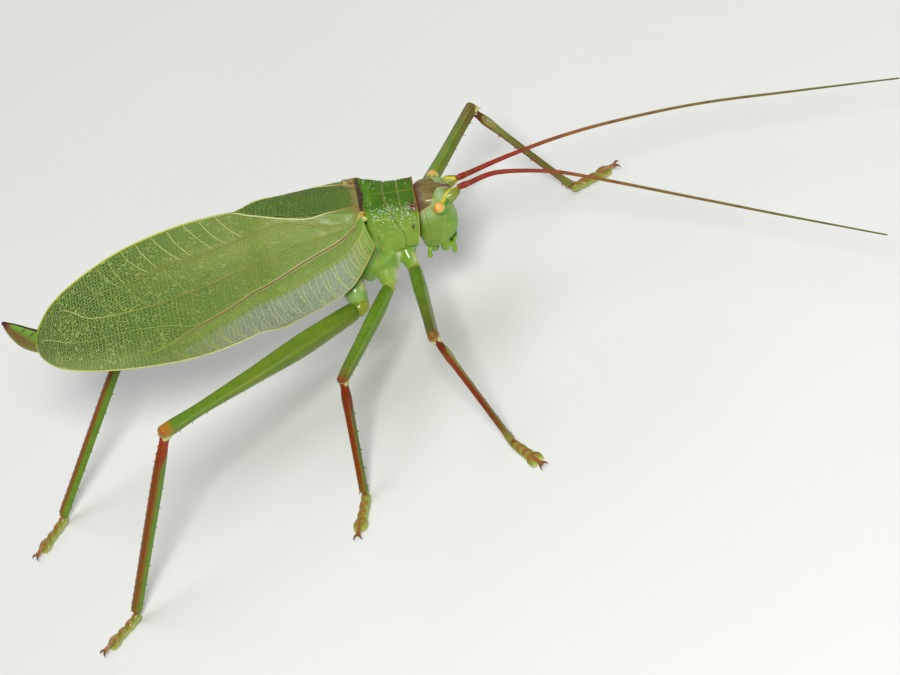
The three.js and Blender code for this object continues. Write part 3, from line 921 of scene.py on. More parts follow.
@dataclass(frozen=True)
class Cuticle:
    """Living cuticle: the painted colour, mottled, over a soft glow, under a clear gloss.

    Fields: patch is patches to a millimetre; mottle how far they swing; grain grains to a
    millimetre; relief and pits how deep; rough the surface's roughness; coat and coat_rough the
    clear layer; glow the subsurface share and depth its reach in metres; shine the bare
    surface's mirror level.
    """

    name: str
    patch: float = 0.9
    mottle: float = 0.22
    grain: float = 6.0
    relief: float = 0.35
    pits: float = 0.5
    rough: float = 0.38
    coat: float = 0.35
    coat_rough: float = 0.16
    glow: float = 0.25
    depth: float = 0.0004
    shine: float = 0.3

    def material(self) -> bpy.types.Material:
        """The finish as a material."""
        return finished(self.name, self.dress)

    def dress(self, graph: Graph) -> dict:
        """Shader inputs: mottled paint, uneven roughness, grain, coat and glow.

        Args:
            graph: the material's graph.

        Returns:
            Values and sockets by input name.
        """
        colour = mottled(graph, graph.stored("paint"), self.patch, self.mottle)
        uneven = graph.noise(graph.place(), 2.5)
        return {
            "Base Color": colour, "Roughness": graph.band(uneven, 0.25, 0.75, self.rough - 0.08, self.rough + 0.12),
            "Normal": grained(graph, self.grain, self.relief, self.pits),
            "Coat Weight": self.coat, "Coat Roughness": self.coat_rough,
            "Subsurface Weight": self.glow, "Subsurface Radius": (1.0, 0.9, 0.35), "Subsurface Scale": self.depth,
            "Specular IOR Level": self.shine,
        }


@dataclass(frozen=True)
class LeafWing:
    """The tegmen's leathery leaf surface: painted zones, a fine net of cells as strong as the mesh
    says, and a few wide cells of thin veins, all in the wing's own millimetres.

    Fields: cell is fine cells to a millimetre; wide_cell is large ones.
    """

    name: str = "leaf_wing"
    cell: float = 3.3
    wide_cell: float = 0.6

    def material(self) -> bpy.types.Material:
        """The finish as a material."""
        return finished(self.name, self.dress)

    def dress(self, graph: Graph) -> dict:
        """Shader inputs: the wide cells are read at places bent by noise, the fine ones straight.

        Args:
            graph: the material's graph.

        Returns:
            Values and sockets by input name.
        """
        chart = graph.node("UVMap", uv_map="millimetres").outputs[0]
        bend = {0: graph.noise(chart, 0.8, 1.0, "Color"), 1: (0.5, 0.5, 0.0), 2: chart}
        bent = graph.node("VectorMath", bend, operation="MULTIPLY_ADD").outputs[0]
        wide = graph.band(graph.cells(bent, self.wide_cell), 0.0, 0.045, 1.0, 0.0)
        wide = graph.times(wide, graph.stored("broad", "Fac"))
        fine = graph.band(graph.cells(chart, self.cell, 0.5), 0.02, 0.13, 1.0, 0.0)
        zone = mottled(graph, graph.stored("paint"), 0.5, 0.12)
        netted = graph.mix(graph.times(fine, graph.stored("netted", "Fac")), zone, graph.stored("net_paint"))
        colour = graph.mix(graph.times(wide, 0.7), netted, graph.stored("net_paint"))
        height = graph.sum(graph.sum(graph.times(fine, 0.8), wide, 0.8), graph.noise(chart, 1.6), 0.9)
        return {
            "Base Color": colour, "Roughness": graph.band(graph.noise(chart, 1.8), 0.3, 0.7, 0.4, 0.52),
            "Normal": graph.bump(0.5, 0.00009, height),
            "Coat Weight": 0.1, "Coat Roughness": 0.25, "Specular IOR Level": 0.35,
            "Subsurface Weight": 0.08, "Subsurface Radius": (0.8, 1.0, 0.3), "Subsurface Scale": 0.0003,
        }


@dataclass(frozen=True)
class FacetEye:
    """A compound eye: painted colour under hundreds of tiny facets and a clear gloss.

    Fields: facets is facets to a millimetre.
    """

    name: str = "facet_eye"
    facets: float = 26.0

    def material(self) -> bpy.types.Material:
        """The finish as a material."""
        return finished(self.name, self.dress)

    def dress(self, graph: Graph) -> dict:
        """Shader inputs: facets part at dark seams and stand up a little.

        Args:
            graph: the material's graph.

        Returns:
            Values and sockets by input name.
        """
        edge = graph.cells(graph.place(), self.facets, 0.3)
        seam = graph.band(edge, 0.02, 0.12, 1.0, 0.0)
        colour = mottled(graph, graph.stored("paint"), 1.4, 0.18)
        return {
            "Base Color": graph.mix(graph.times(seam, 0.3), colour, (0.3, 0.13, 0.04)),
            "Roughness": graph.band(seam, 0.0, 1.0, 0.2, 0.4),
            "Normal": graph.bump(0.3, 0.00003, graph.band(edge, 0.0, 0.35)),
            "Coat Weight": 0.8, "Coat Roughness": 0.06,
            "Subsurface Weight": 0.3, "Subsurface Radius": (1.0, 0.5, 0.2), "Subsurface Scale": 0.0002,
        }


@dataclass(frozen=True)
class StudioFloor:
    """A plain pale matt floor with the faintest unevenness."""

    name: str = "studio_floor"

    def material(self) -> bpy.types.Material:
        """The finish as a material."""
        return finished(self.name, self.dress)

    def dress(self, graph: Graph) -> dict:
        """Shader inputs: two pale greys in wide soft patches."""
        soft = graph.band(graph.noise(graph.place(1.0), 9.0), 0.3, 0.7)
        return {"Base Color": graph.mix(soft, (0.78, 0.79, 0.76), (0.83, 0.83, 0.81)), "Roughness": 0.85}


def install(name: str, surface: Surface, finish: object, slot: str, *nodes: str) -> None:
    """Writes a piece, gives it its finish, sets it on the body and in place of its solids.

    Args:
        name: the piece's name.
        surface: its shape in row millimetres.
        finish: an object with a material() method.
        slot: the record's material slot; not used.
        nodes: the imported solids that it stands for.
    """
    made = write_object(name, surface)
    made.data.materials.append(finish.material())
    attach(made, "root")
    if nodes:
        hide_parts(*nodes)
    log.info("%s: %d points, %d faces", name, len(surface.points), len(surface.faces))


# ---------------------------------------------------------------- wings
# A tegmen's outline from the side, as (x, z) from root to tip.
UPPER_EDGE = np.array([
    [-0.75, 0.25], [-3.5, 0.48], [-8.5, 0.6], [-14.1, 0.9], [-20, 0.35], [-26, -1.4], [-31, -4.1],
    [-34.6, -7], [-36.5, -9.9], [-37.05, -11.5],
])
LOWER_EDGE = np.array([
    [0.12, -3.2], [-3.1, -7.05], [-8.2, -9.4], [-13.8, -11.5], [-19.8, -12.8], [-26, -13.35],
    [-31.3, -13.6], [-34.9, -13.5], [-36.6, -12.95], [-37.1, -12],
])
ROOF = math.radians(24)
TOP_LENGTH = 14.1
TOP_HALF = 3.2
CHART_LENGTH = 36.3

# Main veins as (share along, share across); across is 0 at the back edge and 1 at the free edge.
RADIUS = (
    (0, 0.45), (0.02, 0.465), (0.06, 0.5), (0.142, 0.52), (0.239, 0.585), (0.304, 0.643),
    (0.375, 0.714), (0.439, 0.764), (0.501, 0.848), (0.56, 0.9),
)
SUBCOSTA = (
    (0.0, 0.62), (0.05, 0.66), (0.151, 0.673), (0.223, 0.713), (0.292, 0.739), (0.36, 0.79),
    (0.422, 0.83), (0.5, 0.9),
)
SECTOR = (
    (0.42, 0.75), (0.458, 0.743), (0.494, 0.7), (0.578, 0.664), (0.633, 0.662), (0.698, 0.652),
    (0.904, 0.378),
)
MEDIA = (
    (0.0, 0.44), (0.033, 0.46), (0.134, 0.401), (0.213, 0.383), (0.26, 0.408), (0.344, 0.45),
    (0.411, 0.483), (0.524, 0.508), (0.606, 0.481), (0.654, 0.438), (0.757, 0.175),
)
CUBITUS = (
    (0.0, 0.43), (0.029, 0.43), (0.166, 0.278), (0.238, 0.19), (0.308, 0.206), (0.431, 0.246),
    (0.495, 0.248), (0.555, 0.275), (0.624, 0.242), (0.69, 0.18),
)
RIDGE = (
    (0.0, 0.3), (0.03, 0.25), (0.07, 0.225), (0.122, 0.213), (0.163, 0.222), (0.214, 0.178),
    (0.256, 0.125), (0.296, 0.068), (0.336, 0.007),
)
BACK, FREE = ((0, 0.0), (1, 0.0)), ((0, 1.0), (1, 1.0))

CREAM, WHITE, YELLOW, LEAF = (196, 196, 140), (196, 200, 156), (158, 172, 88), (132, 156, 78)
TAN, RUST, BROWN = (136, 144, 76), (132, 134, 70), (124, 112, 88)
THIN = ((0.0, 124, 150, 76), (0.3, 140, 162, 90), (0.6, *YELLOW))
PALE = ((0.0, *CREAM), (0.5, *CREAM), (0.66, *YELLOW))
IVORY = ((0.0, 190, 196, 128), (0.1, 200, 204, 158), (0.3, 190, 198, 150), (0.5, *YELLOW))


@dataclass(frozen=True)
class Vein:
    """One raised vein: its stops, radius in millimetres, colours along it, points, and how many
    millimetres it lies off its stops."""

    line: Stops
    radius: float
    shades: Stops
    steps: int = 140
    drift: float = 0.0

    def places(self) -> tuple[Array, Array]:
        """Shares along and across: a long vein passes all its stops, and a short one of three is
        drawn towards the middle one, as (1 - t)^2 first + 2 t (1 - t) middle + t^2 last."""
        stops = np.array(self.line)
        if len(stops) > 3:
            along = np.linspace(stops[0, 0], stops[-1, 0], self.steps)
            return along, through(self.line, along)
        t = np.linspace(0, 1, self.steps)[:, None]
        place = (1 - t) ** 2 * stops[0] + 2 * t * (1 - t) * stops[1] + t**2 * stops[2]
        return place[:, 0], place[:, 1]


VEINS = (
    Vein(RADIUS, 0.1, ((0, 206, 190, 110), (0.04, *TAN), (0.09, *BROWN), (0.42, *BROWN), (0.56, *LEAF))),
    Vein(RADIUS, 0.045, ((0, *CREAM), (0.25, *WHITE), (0.45, *YELLOW), (0.56, *LEAF)), drift=0.14),
    Vein(RADIUS, 0.04, ((0, *CREAM), (0.2, *WHITE), (0.4, *YELLOW), (0.56, *LEAF)), drift=-0.14),
    Vein(SUBCOSTA, 0.03, ((0, *CREAM), (0.2, *YELLOW), (0.5, *LEAF))),
    Vein(SECTOR, 0.055, ((0.42, *TAN), (0.5, *LEAF), (0.66, *TAN), (0.8, *CREAM), (0.9, *CREAM))),
    Vein(MEDIA, 0.065, (
        (0, *TAN), (0.2, *LEAF), (0.34, *TAN), (0.44, *RUST), (0.53, *TAN), (0.7, *CREAM), (0.76, *CREAM),
    )),
    Vein(CUBITUS, 0.055, ((0, *TAN), (0.2, *TAN), (0.45, *RUST), (0.69, *TAN))),
    Vein(RIDGE, 0.075, ((0, 140, 98, 60), (0.07, 160, 134, 92), (0.16, *WHITE), (0.33, *WHITE))),
    Vein(((0.0, 0.14), (0.05, 0.13), (0.12, 0.11)), 0.05, ((0, 120, 76, 40), (0.12, 80, 100, 44)), 30),
    Vein(((0.0, 0.34), (0.04, 0.34), (0.09, 0.33)), 0.04, ((0, 150, 120, 60), (0.09, *YELLOW)), 24),
)

# Rows of cross-veins: the main veins they join, the numbers of rungs(), radius and colours.
ROWS = (
    (SUBCOSTA, FREE, (0.012, 0.5, 0.0138, -0.024, 0.01), 0.028, IVORY),
    (RADIUS, SUBCOSTA, (0.1, 0.47, 0.024, -0.008, 0.003), 0.018, THIN),
    (MEDIA, RADIUS, (0.07, 0.52, 0.034, -0.014, 0.01), 0.022, THIN),
    (CUBITUS, MEDIA, (0.1, 0.64, 0.038, -0.02, 0.009), 0.03, THIN),
    (BACK, CUBITUS, (0.36, 0.66, 0.033, -0.034, 0.01), 0.038, PALE),
    (RIDGE, CUBITUS, (0.06, 0.3, 0.034, -0.016, 0.006), 0.022, THIN),
    (BACK, RIDGE, (0.05, 0.28, 0.036, -0.02, 0.006), 0.018, THIN),
    (SECTOR, FREE, (0.5, 0.84, 0.04, 0.016, 0.008), 0.028, THIN),
    (MEDIA, SECTOR, (0.55, 0.74, 0.04, 0.004, 0.006), 0.03, THIN),
    (BACK, SECTOR, (0.7, 0.88, 0.04, 0.016, 0.006), 0.032, THIN),
)


def rungs(upper: Stops, lower: Stops, first: float, last: float, step: float, lean: float, bow: float) -> list[Stops]:
    """Cross-veins between two main veins.

    Args:
        upper: stops of the vein nearer the back edge.
        lower: stops of the other.
        first: share along where they start on the upper vein.
        last: share along where they stop.
        step: share from one to the next.
        lean: how far along the lower end lies from the upper one.
        bow: how far along the middle bulges.

    Returns:
        A list of three-stop lines, each a little uneven.
    """
    lines = []
    for i, at in enumerate(np.arange(first, last, step)):
        wander = 0.22 * step * math.sin(5.1 * i + 40 * at)
        start, end = at + wander, at + lean * (1 + 0.3 * math.sin(3.3 * i)) - wander
        high, low = float(through(upper, start)), float(through(lower, end))
        middle = ((start + end) / 2 + bow * (1 + 0.4 * math.sin(2.3 * i)), (high + low) / 2)
        lines.append(((start, high), middle, (end, low)))
    return lines


@dataclass
class Tegmen:
    """One fore wing: a leathery leaf, flat on top behind the pronotum and falling like a roof.

    A point is found by walking across from the back edge, first over the flat top and then down
    the side, and then moving inwards from the outer face.
    """

    side: Side
    rows: int = 330
    columns: int = 132
    thickness: float = 0.13

    def widths(self, along: Array) -> tuple[Array, Array, Array, Array]:
        """Upper edge, lower edge, flat width and side width at shares along.

        Args:
            along: shares along the wing.

        Returns:
            The two edges as body points, and the two widths.
        """
        high, low = spline(UPPER_EDGE, along), spline(LOWER_EDGE, along)
        left = np.clip(1 + high[..., 0] / TOP_LENGTH, 0, 1)
        top = TOP_HALF * np.sqrt(left) * ease(left, -0.06, 0.24)
        return high, low, top, np.linalg.norm(high - low, axis=-1) / math.cos(ROOF)

    def span(self, along: Array) -> Array:
        """Millimetres from the back edge to the free edge at shares along."""
        _, _, top, slope = self.widths(along)
        return top + slope

    def point(self, along: Array, across: Array, sunk: Array | float = 0.0) -> Array:
        """Body points: gone = across * (flat + side); on the flat it moves out, and on the side
        it moves from the upper edge's place to the lower edge's and out by the roof's slope.

        Args:
            along: shares along the wing.
            across: shares across it, from the back to the lower edge.
            sunk: millimetres towards the body.

        Returns:
            Body points.
        """
        high, low, top, slope = self.widths(along)
        gone = (top + slope) * across
        down = np.clip((gone - top) / slope, 0, 1)
        splay = 0.5 * np.maximum(0, (along - 0.7) / 0.3) ** 2
        bulge = 2.0 * down * (1 - down)
        steep = ease(gone, top - 1, top + 1)
        tilt = 1 + (steep - 1) * ease(top, 0.1, 1.4)
        inward, inward_up = math.cos(ROOF) * tilt, -(1 + (math.sin(ROOF) - 1) * tilt)
        size = np.hypot(inward, inward_up)
        inward, inward_up = inward / size, inward_up / size
        sink = sunk - bulge
        run = np.linalg.norm(high - low, axis=-1) * down * math.tan(ROOF)
        out = 0.05 + splay + np.clip(gone, 0, top) + np.where(across < 0, gone, 0.0) + run
        x = high[..., 0] + (low[..., 0] - high[..., 0]) * down
        z = high[..., 1] + (low[..., 1] - high[..., 1]) * down + inward_up * sink + self.overlap(along, out)
        return np.stack([x, self.side.value * (out - inward * sink), z], axis=-1)

    def overlap(self, along: Array, out: Array) -> Array:
        """How far the back part is raised or lowered so that the left wing lies on the right one.

        Args:
            along: shares along the wing.
            out: millimetres from the back's middle line.

        Returns:
            Millimetres upwards.
        """
        front, near = fall(along, 0.24, 0.34), fall(out, 0.1, 1.6)
        if self.side is Side.LEFT:
            droop = 0.5 * ease(out, 0.6, 3.2) * fall(along, 0.25, 0.36)
            return near * (0.012 * front - 0.1 * (1 - front)) - droop
        fold = through(RIDGE, along) * self.span(along)
        return -0.07 * front * fall(out, fold - 0.45, fold - 0.05) + 0.02 * (1 - front) * near

    def grid(self) -> tuple[Array, Array]:
        """Shares along and across for every point; the left wing's rear part crosses the middle."""
        along, across = lattice(np.linspace(0, 1, self.rows), np.linspace(0, 1, self.columns))
        _, _, top, slope = self.widths(along)
        fold = np.minimum(through(RIDGE, along) * (top + slope), top - 0.15)
        crossing = -np.maximum(fold, 0) * 0.96 if self.side is Side.LEFT else -0.1 * fall(along, 0.2, 0.33)
        return along, across + (1 - across) ** 6 * crossing / np.maximum(top + slope, 1.0)

    def swell(self, along: Array, across: Array) -> Array:
        """Low relief: folds that rise at the main veins and sink between, and soft bumps.

        Args:
            along: shares along the wing.
            across: shares across it.

        Returns:
            Raised or sunk millimetres.
        """
        chart = np.stack([CHART_LENGTH * along, self.span(along) * across, 0 * along], axis=-1)
        folds = sum(
            height * hill(across, through(stops, along), 0.03)
            for stops, height in ((RADIUS, 0.14), (MEDIA, 0.07), (CUBITUS, 0.06), (SUBCOSTA, 0.03))
        )
        trough = 0.12 * hill(across, (through(RADIUS, along) + through(SUBCOSTA, along)) / 2, 0.05)
        bumps = 0.03 * ripple(chart, 1.6) + 0.012 * ripple(chart, 4.5, 2.0)
        quiet = ease(along, 0.0, 0.05) * (1 - 0.8 * ease(along, 0.4, 0.62))
        return (folds - trough) * quiet + bumps * ease(along, 0.0, 0.06)

    def colours(self, along: Array, across: Array) -> tuple[Array, Array]:
        """The zones' colours and the fine net's colours.

        Args:
            along: shares along the wing.
            across: shares across it.

        Returns:
            Both sets of colours.
        """
        radius, subcosta, cubitus, ridge = (through(s, along) for s in (RADIUS, SUBCOSTA, CUBITUS, RIDGE))
        # green that darkens from root to tip: partly the wing's own tone, partly a painted sheen that lightens the
        # front half
        green = ramp([
            (0, 112, 142, 66), (0.2, 116, 138, 74), (0.45, 92, 119, 54), (0.7, 60, 89, 30), (1, 53, 82, 26),
        ], along)
        band = ease(across, radius - 0.01, radius + 0.02) * fall(across, subcosta - 0.02, subcosta + 0.01)
        strip = ease(across, subcosta - 0.01, subcosta + 0.05) * fall(along, 0.36, 0.62)
        bluish = ramp([
            (0.0, 128, 162, 82), (0.05, 144, 166, 106), (0.12, 150, 168, 158), (0.3, 148, 162, 160),
            (0.45, 132, 150, 124), (0.6, 118, 140, 86),
        ], along)
        dark = ramp([(0, 88, 116, 48), (0.2, 72, 102, 36), (0.4, 78, 108, 40)], along)
        base = fall(along, 0.018 + 0.016 * hill(across, 0.2, 0.2), 0.055)
        paint = layered(
            green,
            ((134, 152, 94), 0.6 * hill(across, cubitus + 0.06, 0.1) * fall(along, 0.3, 0.6)),
            ((122, 146, 78), band * fall(along, 0.4, 0.55)),
            ((120, 140, 92), 0.7 * ease(across, 0.7, 0.95) * window(along, 0.45, 0.6, 0.8, 0.95)),
            (bluish, strip),
            (dark, fall(across, ridge - 0.012, ridge + 0.005) * fall(along, 0.33, 0.36)),
            ((140, 128, 88), 0.85 * base * fall(across, 0.44, 0.5)),
            ((120, 158, 70), base * ease(across, 0.46, 0.55)),
        )
        net = layered(
            paint, ((168, 186, 118), 0.78), ((182, 204, 140), 0.9 * ease(along, 0.4, 0.7)),
            ((108, 124, 96), 0.8 * strip), ((128, 110, 70), 0.6 * hill(across, 1.0, 0.09) * strip),
        )
        return paint, net

    def surface(self) -> Surface:
        """The wing as a thin closed sheet."""
        along, across = self.grid()
        gone = self.span(along) * across
        relief = self.swell(along, across)
        rim = np.minimum(gone - gone[:, :1], gone[:, -1:] - gone)
        thin = self.thickness * (0.3 + 0.7 * ease(rim, 0.0, 0.4))
        outer, inner = self.point(along, across, -relief), self.point(along, across, thin - relief)
        paint, net = self.colours(along, across)
        chart = np.stack([CHART_LENGTH * along, gone], axis=-1)
        lining = layered(paint, ((150, 170, 110), 0.5))
        surface = plate(BODY.row(outer), BODY.row(inner), paint, chart, lining)
        costal = ease(across - through(SUBCOSTA, along), -0.01, 0.03) * fall(along, 0.42, 0.55)
        rear = ease(along, 0.36, 0.75)
        netted = (
            0.2 + 0.22 * ease(along, 0.1, 0.34) + 0.3 * rear * (0.7 + 0.3 * ease(across, 0.2, 0.7))
            + 0.4 * costal
        )
        broad = 0.22 * ease(along, 0.1, 0.2) * (0.4 + 0.6 * rear) * (1 - costal)
        for name, mark in (("net_paint", net), ("netted", netted), ("broad", broad)):
            surface.marks[name] = np.concatenate([mark.reshape(-1, *mark.shape[2:])] * 2)
        return surface

    def perched(self, along: Array, across: Array, raised: float) -> tuple[Array, Array]:
        """Row points a little above the wing's outer face, and the directions off it.

        Args:
            along: shares along the wing.
            across: shares across it.
            raised: millimetres above the face.

        Returns:
            The points and the unit directions.
        """
        path, over = (
            BODY.row(self.point(along, across, -self.swell(along, across) - height))
            for height in (raised, 0.3)
        )
        return path, unit(over - path)

    def ribs(self) -> Surface:
        """Every vein, and the rolled margin, as round strands half sunk into the wing."""
        veins = list(VEINS)
        for upper, lower, numbers, radius, shades in ROWS:
            veins += [Vein(line, radius, shades, 14) for line in rungs(upper, lower, *numbers)]
        parts = [self.margin()]
        for vein in veins:
            along, across = vein.places()
            path, rise = self.perched(along, across + vein.drift / self.span(along), 0.2 * vein.radius)
            ends = rounding(np.linspace(0, 1, len(along)), 4, 0.2, 0.5)
            girth = vein.radius * (1 - 0.5 * ease(along, 0.4, 0.8)) * ends
            parts.append(tube(path, rise, girth * 1.25, girth, 6, ramp(vein.shades, along)))
        return joined(parts)

    def margin(self) -> Surface:
        """The rolled rim: yellow with a dark outer line along the back edge, cream along the free
        edge, one strand round the tip."""
        back, tip, free = 200, 22, 260
        along = np.concatenate([np.linspace(0.3, 0.995, back), np.full(tip, 0.998), np.linspace(0.995, 0.0, free)])
        across = np.concatenate([np.zeros(back), np.linspace(0, 1, tip + 2)[1:-1], np.ones(free)])
        path, rise = self.perched(along, across, -0.05)
        place, around = np.arange(len(along)), 10
        girth = 0.085 * np.where(place < back, ease(along, 0.3, 0.36), 1 - 0.3 * ease(along, 0.5, 0.0))
        girth = np.maximum(girth, 0.01)
        shade = np.where(
            (place < back + tip // 2)[:, None],
            ramp([(0.3, 170, 182, 96), (0.5, 186, 192, 70), (1, 160, 176, 70)], along),
            ramp([
                (0, 206, 196, 104), (0.12, 206, 198, 140), (0.3, 206, 204, 150), (0.8, 190, 196, 120),
                (1, 160, 176, 70),
            ], along),
        )
        fades = fall(np.linspace(0, 1, len(along)), 0.38, 0.44)[:, None]
        dark = ease(-self.side.value * np.cos(turn(around)), 0.2, 0.8) * fades
        paint = layered(np.repeat(shade[:, None], around, axis=1), ((84, 52, 30), 0.85 * dark))
        return tube(path, rise, girth * 1.1, girth, around, paint)


@dataclass
class Hindwing:
    """One hind wing, folded into a fan of pleats under the tegmen."""

    side: Side
    thickness: float = 0.05

    def surface(self) -> Surface:
        """A thin sheet under the tegmen whose depth swings with the pleats, painted darker where they sink deepest as
        painted shade.
        """
        along, across = lattice(np.linspace(0.06, 0.9, 90), np.linspace(0.36, 0.84, 72))
        pleat = np.abs((across * 26) % 2 - 1)
        sunk = 0.42 + 0.34 * pleat * (1 - 0.8 * ease(along, 0.8, 0.9))
        wing = Tegmen(self.side)
        outer, inner = wing.point(along, across, sunk), wing.point(along, across, sunk + self.thickness)
        # painted shade: darker green in the deepest parts of the pleats
        paint = layered(flat((176, 188, 140), along.shape), ((120, 140, 80), pleat * 0.6))
        chart = np.stack([CHART_LENGTH * along, 16 * across], axis=-1)
        return plate(BODY.row(outer), BODY.row(inner), paint, chart)


# ---------------------------------------------------------------- pronotum
@dataclass
class Pronotum:
    """The saddle behind the head: a flat disc with two sulci and a lobe down each side."""

    rows: int = 120
    columns: int = 220
    thickness: float = 0.22
    rear: float = -0.37
    length: float = 5.65
    square: float = 0.42
    granule_tries: int = 620

    def point(self, along: Array, around: Array, raised: Array | float = 0.0) -> Array:
        """Body points: around runs from the right lower edge over the top to the left lower edge
        as a squared half ellipse, and the front and rear edges bow.

        Args:
            along: shares from the front edge to the rear one.
            around: shares from lower edge to lower edge.
            raised: millimetres off the plain form.

        Returns:
            Body points.
        """
        top, low = -0.48 * along, -6.05 + 0.69 * along
        half = 3.3 - 0.25 * np.sin(math.pi * along) - 0.15 * along
        angle = (around - 0.5) * math.pi
        drop = 1 - np.abs(np.cos(angle)) ** self.square
        flare = (1 - along) ** 2 * np.sin(2 * angle) ** 2
        rear = self.rear + 1.55 * drop**1.5
        front = self.rear + self.length - 0.55 * drop**2
        x = rear + (front - rear) * along
        y = half * powered(np.sin(angle), self.square) * (1 + 0.06 * flare)
        z = top + (low - top) * drop + 0.6 * flare
        way = unit(np.stack([0 * x, y / 3.3, (z + 3.2) / 3.2], axis=-1))
        return np.stack([x, y, z], axis=-1) + way * np.asarray(raised)[..., None]

    def even_around(self) -> Array:
        """Shares around that lie at equal steps along the saddle's outline."""
        t = np.linspace(-1, 1, 4001)
        fine = 0.5 + 0.5 * powered(t, 2.4)
        marks = walked(self.point(np.full(len(t), 0.5), fine))
        return np.interp(np.linspace(0, marks[-1], self.columns), marks, fine)

    def sulci(self, along: Array, around: Array) -> tuple[Array, Array]:
        """How near each of the two cross furrows is, 1 at its middle.

        Args:
            along: shares along the saddle.
            around: shares round it.

        Returns:
            The first and the second furrow.
        """
        away = np.abs(around - 0.5)
        first = through([(0, 0.4), (0.15, 0.45), (0.3, 0.5), (0.43, 0.56), (0.48, 0.64)], away)
        second = through([(0, 0.68), (0.12, 0.68), (0.27, 0.72), (0.35, 0.74)], away)
        return hill(along, first, 0.024), hill(along, second, 0.02) * fall(away, 0.33, 0.38)

    def relief(self, along: Array, around: Array) -> Array:
        """Raised or sunk millimetres: furrows, a rolled rim, a raised rear edge and soft bumps.

        Args:
            along: shares along the saddle.
            around: shares round it.

        Returns:
            Millimetres off the plain form.
        """
        first, second = self.sulci(along, around)
        chart = np.stack([6 * along, 14 * around, 0 * along], axis=-1)
        rim = 0.1 * fall(along, 0.0, 0.07) + 0.09 * ease(along, 0.94, 1.0)
        rim = np.maximum(rim, 0.08 * fall(np.minimum(around, 1 - around), 0.0, 0.03))
        between = 0.05 * np.sin(along * 9) * fall(np.abs(around - 0.5), 0.2, 0.4)
        bumps = 0.02 * ripple(chart, 3.2) + 0.012 * ripple(chart, 8, 1)
        return rim + between + bumps - 0.13 * first - 0.1 * second

    def colours(self, along: Array, around: Array) -> Array:
        """Dark leaf green on the disc, paler down the lobes, with furrows, rims and red patches.

        Args:
            along: shares along the saddle.
            around: shares round it.

        Returns:
            The colours.
        """
        down = np.abs(around - 0.5) * 2
        furrow = np.maximum(*self.sulci(along, around)) ** 2
        middle = hill(self.point(along, around)[..., 1], 0.0, 0.06)
        rim = ramp([(0.0, 150, 84, 50), (0.4, 158, 110, 64), (0.6, 166, 168, 84), (1.0, 176, 182, 100)], down)
        red = spots(
            along, around, (1.3, 0.91, 0.075, 0.32, 0.075), (1, 0.9, 0.08, 0.63, 0.045),
            (0.8, 0.76, 0.05, 0.66, 0.02),
        )
        dots = spots(along, around, (1, 0.87, 0.03, 0.06, 0.02), (1, 0.07, 0.03, 0.03, 0.015))
        lines = np.maximum(hill(around, 0.17, 0.006), hill(around, 0.83, 0.006))
        return layered(
            ramp([(0.0, 72, 112, 30), (0.35, 78, 118, 34), (0.6, 110, 150, 50), (1.0, 132, 164, 74)], down),
            ((150, 140, 92), 0.6 * furrow * fall(down, 0.5, 0.9)),
            ((120, 134, 70), 0.5 * furrow * ease(down, 0.4, 0.7)),
            ((150, 160, 56), 0.55 * middle * ease(along, 0.16, 0.22)),
            ((96, 140, 44), 0.7 * hill(along, 0.12, 0.09) * hill(down, 0.05, 0.12)),
            ((128, 148, 56), 0.6 * fall(along, 0.0, 0.03)),
            (rim, ease(along, 0.968, 0.99)),
            ((98, 36, 26), np.clip(red, 0, 0.95)),
            ((60, 44, 24), np.clip(dots, 0, 0.9)),
            ((190, 200, 130), 0.7 * lines * window(along, 0.07, 0.12, 0.42, 0.47)),
        )

    def surface(self) -> Surface:
        """The saddle as a closed sheet, and the pale granules that stand on it."""
        along, around = lattice(np.linspace(0, 1, self.rows), self.even_around())
        relief = self.relief(along, around)
        first_row = self.point(along[0], around[0])
        girth = np.cumsum(np.linalg.norm(np.diff(first_row, axis=0, prepend=0), axis=-1))
        chart = np.stack([6 * along, np.broadcast_to(girth, along.shape)], axis=-1)
        outer, inner = (
            BODY.row(self.point(along, around, relief - depth)) for depth in (0.0, self.thickness)
        )
        return joined([plate(outer, inner, self.colours(along, around), chart), self.granules()])

    def granules(self) -> Surface:
        """Tiny pale domes, dense on the shoulders and sparse on the disc."""
        rng, count = np.random.default_rng(5), self.granule_tries
        along, around = rng.uniform(0.08, 0.97, count), rng.uniform(0.04, 0.96, count)
        chance = 0.12 + 0.88 * hill(np.abs(around - 0.5), 0.28, 0.14)
        keep = rng.uniform(0, 1, count) < chance
        along, around = along[keep], around[keep]
        centre = BODY.row(self.point(along, around, self.relief(along, around) - 0.01))
        here, ahead, aside = (
            BODY.row(self.point(along + a, around + b)) for a, b in ((0, 0), (0.01, 0), (0, 0.01))
        )
        up = unit(np.cross(ahead - here, aside - here))
        outside = centre - BODY.row(np.array([2.5, 0, -3.5]))
        up = up * np.sign(np.einsum("ij,ij->i", up, outside))[:, None]
        size = rng.uniform(0.035, 0.07, len(centre))
        return domes(centre, up, size, size * 0.9, (240, 246, 226))


